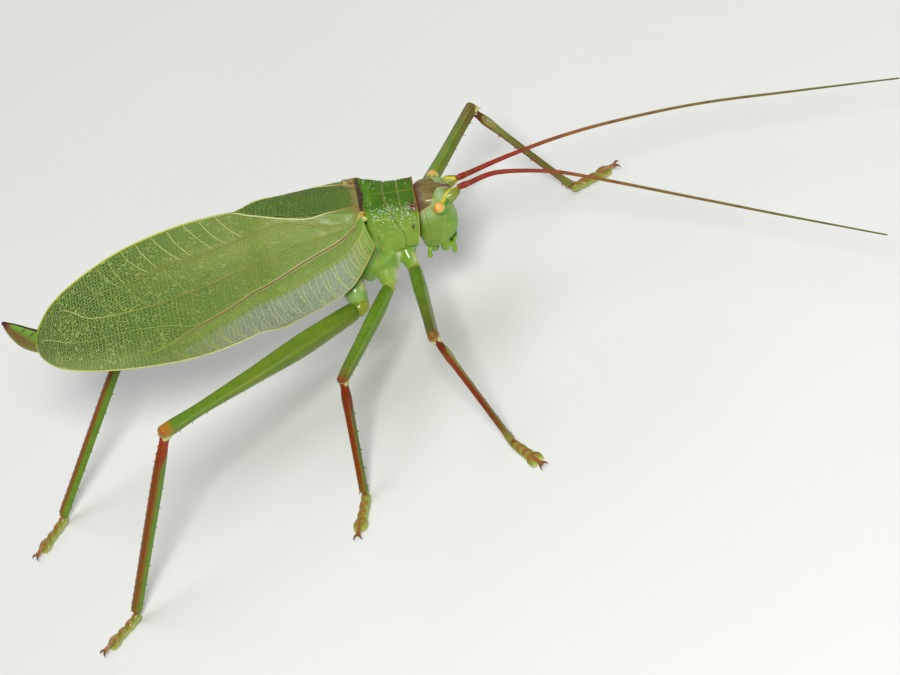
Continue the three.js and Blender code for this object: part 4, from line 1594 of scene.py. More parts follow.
# ---------------------------------------------------------------- head
@dataclass
class Head:
    """The skull with its forward knob and antenna sockets, seen as one skin."""

    voxel: float = 0.07
    soften: int = 12

    def skull(self) -> Surface:
        """Level rings from crown to chin, each a squared ellipse between a back and a front."""
        place = end_loaded(46) * 6.8 + 0.02
        rear = through([(0, 6.0), (0.3, 5.3), (1.2, 4.9), (4.8, 4.9), (6.2, 5.2), (6.9, 5.9)], place)
        front = through([
            (0, 7.9), (0.4, 8.7), (1.5, 9.1), (3, 9.15), (4.6, 9.36), (5.5, 9.3), (6.2, 8.85), (6.9, 8.1),
        ], place)
        half = through([
            (0, 1.2), (0.3, 1.8), (0.9, 2.2), (1.6, 2.42), (2.6, 2.6), (4.6, 2.56), (6.1, 2.35), (6.9, 1.9),
        ], place)
        angle = turn(56)
        middle, reach = ((rear + front) / 2)[:, None], ((front - rear) / 2)[:, None]
        power = np.where(np.cos(angle) < 0, 0.62, 0.9)
        x = middle + reach * powered(np.cos(angle), power)
        y = half[:, None] * powered(np.sin(angle), power)
        return bare(np.stack([x, y, np.broadcast_to(-0.42 - place[:, None], x.shape)], axis=-1))

    def socket(self, side: Side) -> Surface:
        """A short cup round the antenna's root that narrows forwards.

        Args:
            side: the antenna's side.

        Returns:
            The cup.
        """
        yaw, pitch = math.radians(12), math.radians(26)
        level = math.cos(pitch)
        ahead = np.array([level * math.cos(yaw), -side.value * level * math.sin(yaw), math.sin(pitch)])
        start = np.array([9.25, 1.05 * side.value, -1.12]) - ahead * 0.85
        share = np.linspace(0, 1, 12)
        path = BODY.row(start + ahead * (share * 1.62)[:, None])
        girth = through([(0, 0.74), (0.4, 0.68), (0.75, 0.5), (1, 0.36)], share)
        return tube(path, UP, girth, girth * 1.02, 20, BARE)

    def eye_rim(self, side: Side) -> Array:
        """The middle of the swelling that shows below and before the eye."""
        return BODY.eye_middle(side) + np.array([0.27, -0.06 * side.value, -0.36])

    def surface(self) -> Surface:
        """All parts fused, with furrows pressed in and every mark painted by place."""
        lumps = [self.skull(), ball([8.55, 0, -0.9], [0.56, 0.28, 0.34])]
        for side in Side:
            y = side.value
            lumps += [
                self.socket(side), ball([7.4, 2.05 * y, -1.75], [0.9, 0.5, 0.62]),
                ball([6.9, 1.75 * y, -4.4], [1.5, 0.84, 2.6]), ball([8.5, 0.75 * y, -5.2], [0.75, 0.75, 1.5]),
                ball(self.eye_rim(side), [0.55, 0.5, 0.52]),
            ]
        skin = fused(lumps, self.voxel, self.soften)
        p = BODY.body(skin.points)
        x, y, z = p.T
        away = np.abs(y)
        out = unit(p - np.array([7.2, 0.0, -3.9]))
        edge = through([(-6.5, 7.3), (-5.5, 7.5), (-4.6, 7.62), (-3.1, 7.98), (-2.0, 8.37)], z)
        cheek_line = hill(x, edge, 0.13) * ease(away, 1.2, 2.0) * window(z, -6.4, -6.0, -2.2, -1.7)
        jaw_line = through([(5.6, -7.3), (6.6, -7.05), (7.6, -6.55), (8.6, -6.0), (9.4, -5.6)], x)
        clypeus = hill(z, jaw_line - 0.04, 0.08)
        lip = fall(z, jaw_line - 0.1, jaw_line + 0.03)
        rear = hill(x, 5.95 + 0.1 * np.sin(z), 0.12) * ease(away, 1.6, 2.1)
        dip = hill(y, 0.0, 0.14) * ease(x, 8.6, 9.0) * window(z, -5.4, -5.0, -2.5, -2.0)
        press = (
            0.006 * ripple(p, 3.0) - 0.07 * cheek_line - 0.06 * clypeus - 0.24 * lip - 0.06 * rear
            - 0.05 * dip
        )
        skin.points = BODY.row(p + out * press[:, None])
        skin.paint = self.colours(p, cheek_line, clypeus, lip)
        skin.uv = p[:, [0, 2]]
        return skin

    def crown(self, p: Array) -> Array:
        """The top's brown and pink, with three darker streaks on each side that spread forwards.

        Args:
            p: body points.

        Returns:
            The colours.
        """
        x, away = p[:, 0], np.abs(p[:, 1])
        streaks = (
            ((84, 62, 56), 0.5 * hill(away - spread * (x - 6.4), low, 0.045))
            for low, spread in ((0.35, 0.0), (0.9, 0.35), (1.5, 0.6))
        )
        return layered(
            flat((128, 112, 74), x.shape), ((110, 92, 72), ease(ripple(p, 1.6, 0.4), -0.1, 0.5)),
            ((108, 78, 78), 0.7 * fall(x, 5.6, 6.0)), *streaks,
        )

    def colours(self, p: Array, cheek_line: Array, clypeus: Array, lip: Array) -> Array:
        """Green face and cheeks, a brown-pink crown, a purple knob with a painted highlight along its edges, and
        yellow eye lines.

        Args:
            p: (n, 3) body points.
            cheek_line: how near the furrow down the cheek is.
            clypeus: how near the furrow across the face is.
            lip: how far a point lies on the lip below it.

        Returns:
            Linear colours.
        """
        x, y, z = p.T
        away = np.abs(y)
        pale = hill(z - 0.55 * (x - 7.4), -1.45, 0.8) * fall(x, 7.9, 8.5) * ease(away, 0.7, 1.5)
        front_pale = hill(x, 7.75, 0.45) * fall(away, 1.5, 2.0) * ease(z, -1.4, -1.0)
        lower = through([(5.2, -2.3), (5.4, -2.1), (6.0, -1.6), (6.66, -1.28), (7.1, -0.95)], x)
        half = through([
            (5.0, 2.9), (6.5, 2.5), (6.75, 2.1), (7.04, 1.72), (7.27, 1.15), (7.6, 0.55), (8.0, 0.34),
            (8.4, 0.26),
        ], x)
        wedge = fall(away, half - 0.07, half + 0.07) * ease(z, lower - 0.05, lower + 0.05)
        border = hill(z, lower, 0.06) * fall(x, 6.7, 7.1) * window(away, 1.4, 1.6, 2.6, 2.8)
        knob = hill(x, 8.5, 0.45) * fall(away, 0.24, 0.36) * ease(z, -1.2, -0.9)
        inner = hill(away, through([(7.8, 2.0), (8.2, 1.7), (8.5, 1.4), (9.0, 0.98), (10, 0.72)], x), 0.13)
        inner = inner * ease(x, 7.75, 7.95) * ease(z, -1.75, -1.5)
        eye_x, _, eye_z = BODY.eye
        from_eye = np.hypot(x - eye_x, z - eye_z)
        below = 0.6 * (x - eye_x) - 0.8 * (z - eye_z)
        swellings = (
            ((58, 158, 34), fall(np.linalg.norm(p - self.eye_rim(side), axis=1), 0.5, 0.72)) for side in Side
        )
        return layered(
            flat((126, 156, 70), x.shape),
            ((112, 164, 40), ease(x, 8.0, 8.8) * ease(-z, 2.0, 3.2)),
            ((118, 154, 50), 0.7 * ease(-z, 5.0, 7.0) * fall(x, 7.4, 8.0)),
            ((166, 188, 152), 0.9 * pale),
            ((134, 150, 80), ease(z, -2.0, -1.5) * ease(x, 8.1, 8.6)),
            ((164, 186, 158), 0.85 * front_pale),
            (self.crown(p), wedge),
            ((214, 204, 158), 0.9 * border),
            ((112, 78, 92), np.clip(knob * 1.3, 0, 1)),
            # painted highlight: a whitish line along each side edge of the purple knob
            ((206, 196, 186), 0.8 * hill(away, 0.31, 0.05) * ease(x, 8.0, 8.2) * ease(z, -1.25, -1.0)),
            ((128, 130, 48), ease(x, 8.9, 9.3) * hill(away, 1.05, 0.75) * ease(z, -2.1, -1.7)),
            ((216, 204, 40), np.clip(inner * 1.3, 0, 1)),
            ((150, 158, 92), 0.5 * hill(from_eye, 0.84, 0.12) * ease(away, 1.6, 2.0)),
            ((52, 140, 30), 0.95 * hill(from_eye, 0.86, 0.2) * ease(below, 0.3, 0.6) * ease(away, 1.4, 1.8)),
            *swellings,
            ((60, 146, 34), 0.4 * hill(x, 7.8, 0.34) * hill(z, -2.3, 0.3) * ease(away, 1.2, 1.7)),
            ((160, 182, 96), 0.4 * cheek_line),
            ((116, 176, 40), 0.85 * lip),
            ((168, 200, 100), 0.5 * lip * ease(ripple(p, 1.3, 0.7), 0.15, 0.6)),
            ((74, 118, 34), 0.75 * clypeus),
        )


# Bars of the mouth on the left side: stops, half width, and colours along.
MOUTH_BARS = (
    ([[7.4, 1.5, -6.3], [7.6, 1.6, -7.1], [7.55, 1.3, -7.8], [7.5, 0.75, -8.3], [7.55, 0.25, -8.5]], 0.62,
     ((0, 120, 154, 60), (0.5, 128, 174, 44), (0.72, 150, 150, 66), (0.86, 112, 66, 36), (1, 30, 18, 14))),
    ([[6.2, 1.2, -6.6], [6.3, 1.25, -7.4], [6.5, 0.95, -8.1], [6.8, 0.5, -8.4]], 0.52,
     ((0, 120, 154, 60), (0.7, 104, 150, 40), (1, 150, 160, 80))),
    ([[5.7, 0.6, -6.8], [5.75, 0.65, -7.6], [6.0, 0.5, -8.1]], 0.45, ((0, 130, 158, 76), (1, 146, 166, 90))),
)


@dataclass
class Mouth:
    """Labrum, mandibles and the jointed palps below the face."""

    def jaws(self) -> Surface:
        """A rounded labrum in front of two curved mandibles with dark tips, two lobes and the chin."""
        even, share = np.linspace(0, 1, 30), end_loaded(30)
        line = evenly([[8.75, 0, -6.7], [8.55, 0, -7.3], [8.2, 0, -7.75], [7.7, 0, -8.1]], 30)
        keep = rounding(even, 2.2, 0.4, 0.5)
        colour = ramp([
            (0, 120, 156, 60), (0.5, 128, 174, 44), (0.8, 140, 164, 70), (0.95, 226, 226, 130),
            (1, 226, 226, 130),
        ], even)
        face = BODY.turned(np.array([0.9, 0.0, -0.4]))
        parts = [tube(BODY.row(line), face, 1.35 * keep, 0.36 * keep, 32, colour, 0.85)]
        taper = rounding(even, 2.4, 0.4, 0.5) * through([(0, 1), (0.6, 0.95), (1, 0.6)], share)
        forward = BODY.turned(np.array([1.0, 0, 0]))
        for side in Side:
            for points, girth, shades in MOUTH_BARS:
                path = BODY.row(evenly(points * side.flip, 30))
                wide = girth * taper
                parts.append(tube(path, forward, wide, wide * 0.85, 22, ramp(shades, even)))
        return joined(parts)

    def palp(self, side: Side, points: list, radii: list, joints: list) -> Surface:
        """A palp as short bars end to end, each swelling towards its far end.

        Args:
            side: which side it is on.
            points: stops of the left one's middle line in the body frame.
            radii: radius of each bar.
            joints: shares of the line where the bars start, and 1.

        Returns:
            The palp.
        """
        count = 120
        line = evenly(points * side.flip, count)
        parts, share = [], end_loaded(14)
        for k, radius in enumerate(radii):
            at = np.clip(joints[k] - 0.03 + (joints[k + 1] - joints[k] + 0.06) * share, 0, 1)
            path = BODY.row(read(at * (count - 1), np.arange(count), line))
            length = np.linalg.norm(path[-1] - path[0])
            swell = through([(0, 0.9), (0.6, 0.96), (0.85, 1.0), (1, 0.96)], share)
            girth = radius * swell * rounding(share, length, radius * 0.45, radius * 0.5)
            tip = (214, 222, 184) if k == len(radii) - 1 else (150, 170, 84)
            shade = ramp([(0, 160, 186, 84), (0.12, 124, 168, 46), (0.8, 128, 168, 52), (1, *tip)], share)
            parts.append(tube(path, BODY.turned(np.array([0.3, 0, 1.0])), girth, girth, 14, shade))
        return joined(parts)

    def maxillary(self, side: Side) -> Surface:
        """The long outer palp."""
        points = [[7.0, 1.5, -6.9], [7.6, 1.8, -7.2], [8.1, 1.75, -7.25], [8.42, 1.6, -7.7], [8.4, 1.5, -8.6]]
        return self.palp(side, points, [0.26, 0.27, 0.27, 0.27], [0.0, 0.18, 0.36, 0.66, 1.0])

    def labial(self, side: Side) -> Surface:
        """The short inner palp."""
        points = [[6.2, 1.2, -7.2], [5.95, 1.5, -7.5], [5.75, 1.75, -7.9], [5.8, 1.9, -8.5]]
        return self.palp(side, points, [0.24, 0.25, 0.26], [0.0, 0.3, 0.58, 1.0])


@dataclass
class Eye:
    """One compound eye: a faceted golden dome, ringed with green below and in front."""

    side: Side
    radius: float = 0.66

    def surface(self) -> Surface:
        """A ball at the solid's middle, a little taller than long, painted round its pole, with a painted highlight as
        the pale cream-pink centre at the pole.
        """
        axis = unit(np.array([0.28, self.side.value * 0.72, 0.62]))
        helper = unit(np.cross(axis, [1.0, 0.0, 0.0]))
        lat, lon = np.linspace(0.01, math.pi - 0.01, 72)[:, None], turn(96)
        spoke = wheel(lon[..., None], helper, np.cross(axis, helper))
        way = axis * np.cos(lat)[..., None] + spoke * np.sin(lat)[..., None]
        grid = BODY.eye_middle(self.side) + way * self.radius * np.array([1.0, 1.0, 1.02])
        forward, high = way[..., 0], way[..., 2]
        low_front = ease(forward * 0.5 - high * 0.86, 0.02, 0.34)
        paint = layered(
            # painted highlight: the pale cream-pink centre round the pole; orange and gold further out
            ramp([
                (0.0, 240, 200, 150), (0.2, 240, 184, 112), (0.6, 238, 190, 96), (1.0, 230, 178, 84),
                (1.35, 206, 176, 84), (1.7, 140, 160, 70), (3.2, 120, 140, 60),
            ], np.broadcast_to(lat, forward.shape)),
            ((226, 214, 96), 0.8 * ease(forward, 0.35, 0.85) * ease(lat, 0.15, 0.5)),
            ((196, 128, 62), 0.5 * ease(-forward, 0.35, 0.9)),
            ((84, 150, 40), 0.9 * low_front * ease(lat, 0.5, 0.85)),
            ((206, 196, 74), 0.7 * hill(forward * 0.8 + high * 0.5, 0.85, 0.22) * ease(lat, 0.4, 0.8)),
        )
        return shell(BODY.row(grid), paint)


@dataclass
class Antenna:
    """One thread-like feeler: a stout scape, a short second joint and a long ringed whip."""

    side: Side
    route: tuple[Tint, ...]
    base: Tint = (10.08, 0.74, -0.62)

    def surface(self) -> Surface:
        """A tube whose radius swells a little at each ring, along the solid's own route."""
        floor = np.array(self.route) + BODY.shift
        root = BODY.row(self.base * self.side.flip)
        ahead = unit(floor[0] - root)
        line = evenly(np.concatenate([[root + ahead], floor]), 240)
        line = np.concatenate([root + ahead * np.linspace(-0.3, 0.95, 8)[:, None], line])
        marks = walked(line)
        length = marks[-1]
        joint = self.joints(length)
        at = np.unique(np.concatenate([
            np.linspace(a + 0.02 * (b - a), b - 0.02 * (b - a), 5) for a, b in zip(joint[:-1], joint[1:])
        ]))
        ring = np.clip(np.searchsorted(joint, at) - 1, 0, len(joint) - 2)
        inside = (at - joint[ring]) / (joint[ring + 1] - joint[ring])
        girth = through([
            (0, 0.3), (1.2, 0.32), (1.5, 0.29), (3.0, 0.27), (8, 0.21), (18, 0.165), (36, 0.13),
            (length, 0.085),
        ], at)
        arch = np.sin(inside * math.pi)
        swell = np.where(ring == 0, 0.95 + 0.16 * arch, 0.9 + 0.13 * arch**0.7 + 0.05 * inside)
        girth = girth * swell * np.clip((length - at) / 0.2, 0.05, 1) ** 0.5
        pale = np.clip(hill(inside, 0.02, 0.12) + hill(inside, 0.98, 0.1), 0, 1)
        colour = layered(
            ramp([
                (0.0, 130, 80, 40), (0.012, 138, 36, 26), (0.07, 140, 36, 28), (0.15, 140, 48, 32),
                (0.26, 138, 80, 44), (0.42, 118, 96, 52), (0.7, 106, 104, 56), (1.0, 94, 98, 54),
            ], at / length),
            ((186, 120, 84), 0.22 * pale),
            ((84, 46, 34), 0.35 * ease(np.sin(ring * 0.9) + np.sin(ring * 0.37), 0.9, 1.4)),
        )
        return tube(read(at, marks, line), np.array([0.1, 0.2, 1.0]), girth, girth, 12, colour)

    def joints(self, length: float) -> Array:
        """Where rings part: after the scape and second joint, from 0.28 mm apart to 0.6 mm.

        Args:
            length: length of the antenna.

        Returns:
            Distances from the root.
        """
        step = through([(0, 0.28), (20, 0.34), (60, 0.6)], np.linspace(0, 60, 400))
        rings = 1.7 + np.cumsum(step)
        return np.concatenate([[0.0, 1.3, 1.7], rings[rings < length - 0.3], [length]])


# ---------------------------------------------------------------- trunk
@dataclass(frozen=True)
class Hip:
    """A leg's root on the left of the body: the coxa from start to end, its radius and colour."""

    start: Tint
    end: Tint
    radius: float
    tint: Tint

    def ends(self, side: Side) -> tuple[Array, Array]:
        """Where the coxa starts and ends on one side."""
        return self.start * side.flip, self.end * side.flip


HIPS = {
    "fore": Hip((3.3, 2.45, -6.6), (3.8, 3.9, -7.85), 0.88, (124, 164, 58)),
    "mid": Hip((0.9, 2.6, -7.9), (0.9, 4.03, -9.5), 1.1, (142, 174, 88)),
    "hind": Hip((-3.0, 3.2, -8.7), (-2.43, 5.3, -10.45), 1.3, (138, 178, 112)),
}

# Swellings on the left of the thorax: centre, radii and corners round.
PLATES = (
    ((3.2, 2.1, -6.0), (1.4, 0.85, 1.7), 20), ((0.2, 2.3, -4.8), (1.5, 1.1, 3.2), 28),
    ((1.0, 2.6, -7.0), (1.75, 1.0, 2.4), 28), ((-0.9, 2.7, -6.9), (1.5, 0.95, 2.6), 28),
    ((-3.2, 2.85, -7.5), (1.8, 0.9, 2.3), 28), ((-5.4, 2.5, -7.1), (1.5, 0.7, 1.8), 20),
)


@dataclass
class Trunk:
    """Neck, thorax and the six coxae as one skin."""

    voxel: float = 0.09
    soften: int = 16

    def barrel(self, start: float, end: float, high: list, wide: list, middle: float, sag: float) -> Surface:
        """Upright rings along X, squared a little, with blunt ends.

        Args:
            start: X of one end.
            end: X of the other.
            high: (X, half height) stops.
            wide: (X, half width) stops.
            middle: Z of the middle line at its ends.
            sag: how much lower it hangs halfway.

        Returns:
            The barrel.
        """
        share, angle = end_loaded(44), turn(56)
        x = start + (end - start) * share
        share = (x - start) / (end - start)
        blunt = rounding(share, abs(end - start), 0.7, 0.7)
        deep, broad = (through(high, x) * blunt)[:, None], (through(wide, x) * blunt)[:, None]
        y = broad * powered(np.cos(angle), 0.85)
        z = middle - sag * 4 * (share * (1 - share))[:, None] + deep * powered(np.sin(angle), 0.9)
        return bare(np.stack([np.broadcast_to(x[:, None], y.shape), y, z], axis=-1))

    def coxa(self, hip: Hip, side: Side) -> Surface:
        """A stout cone that narrows to the joint.

        Args:
            hip: where it runs, and its radius.
            side: side of the body.

        Returns:
            The cone.
        """
        start, end = hip.ends(side)
        ahead = unit(end - start)
        share = end_loaded(26)
        path = BODY.row(start - ahead * 0.5 + (end - start + ahead * 0.62) * share[:, None])
        length = float(np.linalg.norm(end - start)) + 1.1
        taper = through([(0, 1.02), (0.5, 1.0), (0.8, 0.84), (1, 0.72)], share)
        girth = hip.radius * taper * rounding(share, length, 0.5, 0.45)
        return tube(path, UP, girth, girth * 1.04, 30, BARE)

    def surface(self) -> Surface:
        """Barrels, side plates, belly plates and coxae fused, then creased and painted."""
        lumps = [
            self.barrel(0.45, 5.3, [(0.4, 2.6), (5.3, 2.75)], [(0.4, 2.1), (5.3, 2.1)], -4.2, 0.1),
            self.barrel(
                0.5, -7.75, [(-7.7, 3.0), (-3, 3.75), (0.5, 3.3)], [(-7.7, 2.2), (-3, 2.92), (0.5, 2.75)],
                -5.15, 0.2,
            ),
            ball([5.5, 0, -3.9], [0.9, 2.0, 2.5], 24),
        ]
        for side in Side:
            lumps += [self.coxa(hip, side) for hip in HIPS.values()]
            lumps += [ball(centre * side.flip, radii, around) for centre, radii, around in PLATES]
        skin = fused(lumps, self.voxel, self.soften)
        p = BODY.body(skin.points)
        x, y, z = p.T
        out = unit(np.stack([0 * x, y, z + 5.0], axis=-1))
        seams = sum(
            hill(self.lean(p), at, wide)
            for at, wide in ((0.3, 0.06), (2.35, 0.09), (-1.9, 0.1), (-3.9, 0.08), (-5.6, 0.08))
        )
        belly = hill(x, 2.2, 0.12) + hill(x, -1.3, 0.14) + hill(x, -4.6, 0.14) + 0.6 * hill(y, 0, 0.12)
        belly = belly * ease(-z, 8.2, 8.7) * fall(np.abs(y), 1.8, 2.4)
        seams = np.clip(seams * window(-z, 4.0, 5.0, 8.0, 8.4) + belly, 0, 1)
        press = 0.015 * ripple(p, 2.2) + 0.006 * ripple(p, 6.0, 1.0) - 0.07 * seams
        skin.points = BODY.row(p + out * press[:, None])
        skin.paint = self.colours(p, seams)
        skin.uv = p[:, [0, 2]]
        return skin

    def lean(self, p: Array) -> Array:
        """X as the slanting seams between the side plates have it."""
        return p[:, 0] + 0.12 * (p[:, 2] + 7)

    def colours(self, p: Array, seams: Array) -> Array:
        """Pale green plates, whiter membranes between them and bluish translucent coxae.

        Args:
            p: body points.
            seams: how deep in a seam each one is, 0 to 1.

        Returns:
            The colours.
        """
        x, y, z = p.T
        away = np.abs(y)
        mirrored = np.stack([x, away, z], axis=1)
        paint = layered(
            flat((118, 162, 58), x.shape),
            ((110, 152, 48), ease(z, -6.2, -5.2)),
            ((168, 184, 124), ease(-z, 8.0, 8.8) * fall(away, 2.0, 2.6)),
            ((144, 178, 84), 0.7 * ease(ripple(p, 0.9, 0.3), 0.1, 0.6)),
            ((184, 196, 140), 0.5 * seams),
            ((206, 214, 182), 0.8 * window(x, 1.9, 2.5, 2.6, 3.0) * ease(-z, 5.6, 6.4)),
        )
        for hip in HIPS.values():
            start, end = hip.ends(Side.LEFT)
            way, reach = unit(end - start), float(np.linalg.norm(end - start))
            along = (mirrored - start) @ way
            off = np.linalg.norm(mirrored - start - along[:, None] * way, axis=1)
            on = fall(off, hip.radius * 1.02, hip.radius * 1.3) * ease(along, 0.1, 0.7)
            front = ease(x, start[0] + 0.35 * hip.radius, start[0] + 0.9 * hip.radius)
            paint = layered(
                paint, (hip.tint, on), ((206, 212, 178), 0.7 * on * front * fall(along, 1.2, 1.9)),
                ((170, 182, 72), 0.8 * on * hill(along, reach - 0.1, 0.22)),
            )
        pink = hill(self.lean(p), 0.3, 0.07) * hill(z, -6.2, 1.6) * ease(away, 2.4, 2.8)
        return layered(paint, ((176, 134, 96), 0.6 * pink))


@dataclass
class WingRoots:
    """The leathery folds and small hard plates where the wings leave the saddle."""

    voxel: float = 0.055
    soften: int = 5

    def surface(self) -> Surface:
        """Uneven lumps across the wings' base, fused, folded, and blotched tan, orange and brown, with painted shade
        darkening the fold creases and a painted shadow under the saddle's rear edge.
        """
        rng = np.random.default_rng(11)
        lumps = [ball([-0.9, 0, -0.32], [1.1, 2.9, 0.5], 24)]
        for side in Side:
            y = side.value
            for place in np.linspace(0.2, 2.75, 9):
                for back in (0.55, 1.05, 1.6):
                    x, out = -back - 0.2 * rng.uniform(), (place + 0.1 * rng.uniform()) * y
                    radii = [0.38 + 0.1 * rng.uniform(), 0.2 + 0.08 * rng.uniform(), 0.13 + 0.07 * rng.uniform()]
                    lumps.append(ball([x, out, 0.08 - 0.02 * place + 0.02 * back], radii, 12))
            lumps += [
                ball([-0.85, 2.95 * y, -0.2], [0.5, 0.3, 0.26]), ball([-0.5, 3.15 * y, -0.6], [0.42, 0.24, 0.34]),
                ball([-1.15, 2.75 * y, -0.08], [0.36, 0.24, 0.22]),
            ]
        skin = fused(lumps, self.voxel, self.soften)
        p = BODY.body(skin.points)
        x, away = p[:, 0], np.abs(p[:, 1])
        fold, blotch = np.abs(ripple(p, 2.6, 1.9)), ripple(p, 2.3, 0.7)
        skin.points = BODY.row(p + np.array([0, 0, 0.06]) * (fold - 0.4)[:, None])
        shoulder = ease(away, 2.75, 2.95) * ease(x, -1.5, -1.1)
        skin.paint = layered(
            flat((146, 134, 96), x.shape),
            ((164, 112, 54), 0.8 * ease(blotch, 0.2, 0.5) * ease(x, -1.5, -1.0)),
            ((180, 166, 122), ease(-blotch, 0.25, 0.5)),
            # painted shade: darker brown at the bottoms of the fold creases
            ((96, 72, 44), 0.8 * fall(fold, 0.02, 0.16)),
            # painted shadow: near black brown under the saddle's rear edge
            ((52, 34, 22), 0.9 * ease(x, -1.05, -0.65) * fall(away, 2.6, 3.0)),
            ((188, 146, 60), shoulder),
            ((222, 210, 146), shoulder * ease(away, 3.05, 3.3)),
        )
        return skin


@dataclass
class Abdomen:
    """Nine overlapping rings that narrow to the tail, with a soft fold along each side."""

    segments: int = 9
    front: float = -7.7
    rear: float = -26.5

    def surface(self) -> Surface:
        """Upright rings; each segment rises to its rear edge and steps down to the next."""
        x, angle = np.linspace(self.front, self.rear, 300), turn(120)
        share = (x - self.front) / (self.rear - self.front)
        place = share * self.segments
        inside = place - np.floor(place)
        step = 1 + 0.05 * inside - 0.07 * ease(inside, 0.93, 1.0) + 0.02 * fall(inside, 0, 0.12)
        blunt = rounding(share, self.front - self.rear, 0.5, 1.0)
        high = through([(-26.5, 1.35), (-20, 2.45), (-12, 2.92), (-7.7, 2.82)], x) * step * blunt
        wide = through([(-26.5, 1.0), (-20, 1.75), (-12, 2.0), (-7.7, 1.9)], x) * step * blunt
        middle = through([(-26.5, -9.4), (-17, -7.5), (-7.7, -5.85)], x)
        fold = hill(np.abs(np.mod(angle + math.pi / 2, FULL_TURN) - math.pi), math.radians(52), 0.1)
        keep = 1 - 0.08 * fold
        _, up = lattice(x, np.sin(angle))
        grid = np.stack([
            np.broadcast_to(x[:, None], up.shape), wide[:, None] * np.cos(angle) * keep,
            middle[:, None] + high[:, None] * up * keep,
        ], axis=-1)
        paint = layered(
            flat((120, 146, 62), up.shape), ((150, 170, 96), fall(up, -0.75, -0.3)),
            ((190, 198, 146), 0.6 * fold), ((96, 110, 46), 0.6 * hill(inside, 0.92, 0.06)[:, None]),
            ((170, 176, 104), 0.5 * hill(inside, 0.04, 0.05)[:, None]), ((110, 96, 56), 0.5 * hill(up, 1.0, 0.04)),
        )
        uv = np.stack(lattice(-x, angle * 2.4), axis=-1)
        return joined([shell(BODY.row(grid), paint, uv), self.tail_plate()])

    def tail_plate(self) -> Surface:
        """The small flap over the vent."""
        share = end_loaded(14)
        path = BODY.row(np.array([-25.9, 0, -8.15]) + share[:, None] * np.array([-1.5, 0, -0.75]))
        wide = 0.72 * rounding(share, 1.6, 0.5, 0.9)
        return tube(path, UP, wide, wide * 0.3, 18, (136, 156, 74))

    def cercus(self, side: Side) -> Surface:
        """A short tapering feeler beside the tail, bent a little inwards.

        Args:
            side: side of the body.

        Returns:
            The feeler.
        """
        points = [[-26.5, 0.9, -8.44], [-27.1, 1.12, -8.3], [-27.9, 1.27, -8.05], [-28.55, 1.3, -7.85]]
        share = np.linspace(0, 1, 30)
        girth = through([(0, 0.3), (0.3, 0.34), (0.8, 0.22), (1, 0.1)], share) * rounding(share, 2.1, 0.2, 0.2)
        colour = ramp([(0, 132, 152, 70), (0.7, 150, 150, 74), (1, 110, 70, 36)], share)
        return tube(BODY.row(evenly(points * side.flip, 30)), UP, girth, girth, 18, colour)


@dataclass
class Ovipositor:
    """The sickle for laying eggs: an upper and a lower blade pressed together on each side."""

    length: float = 16
    tooth: float = 0.3

    def surface(self) -> Surface:
        """A flat bar along the sickle's curve with a furrow between its blades and fine teeth
        along the upper edge near the tip."""
        count, around = 260, 72
        path = BODY.row(evenly([
            [-26.3, 0, -9.45], [-26.8, 0, -9.7], [-31.5, 0, -11.5], [-36.6, 0, -11.9], [-40.2, 0, -8.2],
        ], count))
        share, height = np.linspace(0, 1, count), np.sin(turn(around))
        blunt = rounding(share, self.length, 0.5, 0.25)
        deep = through([(0, 0.95), (0.55, 1.5), (0.75, 1.44), (0.86, 1.05), (0.93, 0.66), (1, 0.2)], share)
        thick = through([(0, 0.55), (0.6, 0.36), (1, 0.16)], share) * blunt
        teeth = np.maximum(0, np.sin(share * self.length / self.tooth * FULL_TURN)) * ease(share, 0.82, 0.88)
        broad = thick[:, None] * (1 - 0.3 * hill(height, 0.12, 0.09))
        tall = (deep * blunt)[:, None] + 0.05 * teeth[:, None] * ease(height, 0.85, 1.0)
        s, h = lattice(share, height)
        fades = ease(s, 0.62, 0.86)
        band = hill(h, -0.3 + 0.25 * fades, 0.16 + 0.1 * fades) * fades
        stripes = hill(h, -0.16, 0.07) + hill(h, -0.42, 0.05) + hill(h, -0.66, 0.05)
        marks = spots(s + 0.02 * h, h, (1, 0.785, 0.008, 0.5, 0.28), (1, 0.855, 0.008, 0.55, 0.22))
        paint = layered(
            ramp([
                (-1.0, 96, 60, 26), (-0.93, 124, 124, 46), (-0.6, 108, 118, 42), (-0.25, 104, 116, 40),
                (0.0, 106, 144, 46), (0.8, 112, 154, 52), (1.0, 88, 114, 40),
            ], h),
            ((116, 140, 58), 0.8 * fall(s, 0.12, 0.4)),
            ((118, 88, 34), np.clip(band, 0, 0.7)),
            ((132, 82, 32), 0.6 * fades * window(-h, 0.1, 0.3, 0.62, 0.78)),
            ((92, 52, 20), np.clip(0.75 * stripes * ease(s, 0.7, 0.84), 0, 0.85)),
            ((50, 44, 14), np.clip(marks, 0, 0.9)),
            ((46, 26, 12), ease(h, 0.8, 0.93) * ease(s, 0.5, 0.65)),
            ((96, 44, 16), ease(s, 0.92, 0.965)),
            ((40, 16, 10), ease(s, 0.955, 0.99)),
        )
        rise = np.cross(unit(np.gradient(path, axis=0)), [0.0, 1.0, 0.0])
        rise = rise * np.sign(rise[:, 2:3] + 1e-9)
        return tube(path, rise, broad, tall, around, paint)


# ---------------------------------------------------------------- legs
def solid_points(node: str) -> Array:
    """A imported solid's mesh points in row millimetres.

    Args:
        node: the solid's name in the frame.

    Returns:
        The points, one per row.
    """
    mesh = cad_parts[node].data
    points = np.empty(len(mesh.vertices) * 3)
    mesh.vertices.foreach_get("co", points)
    return points.reshape(-1, 3) / MM


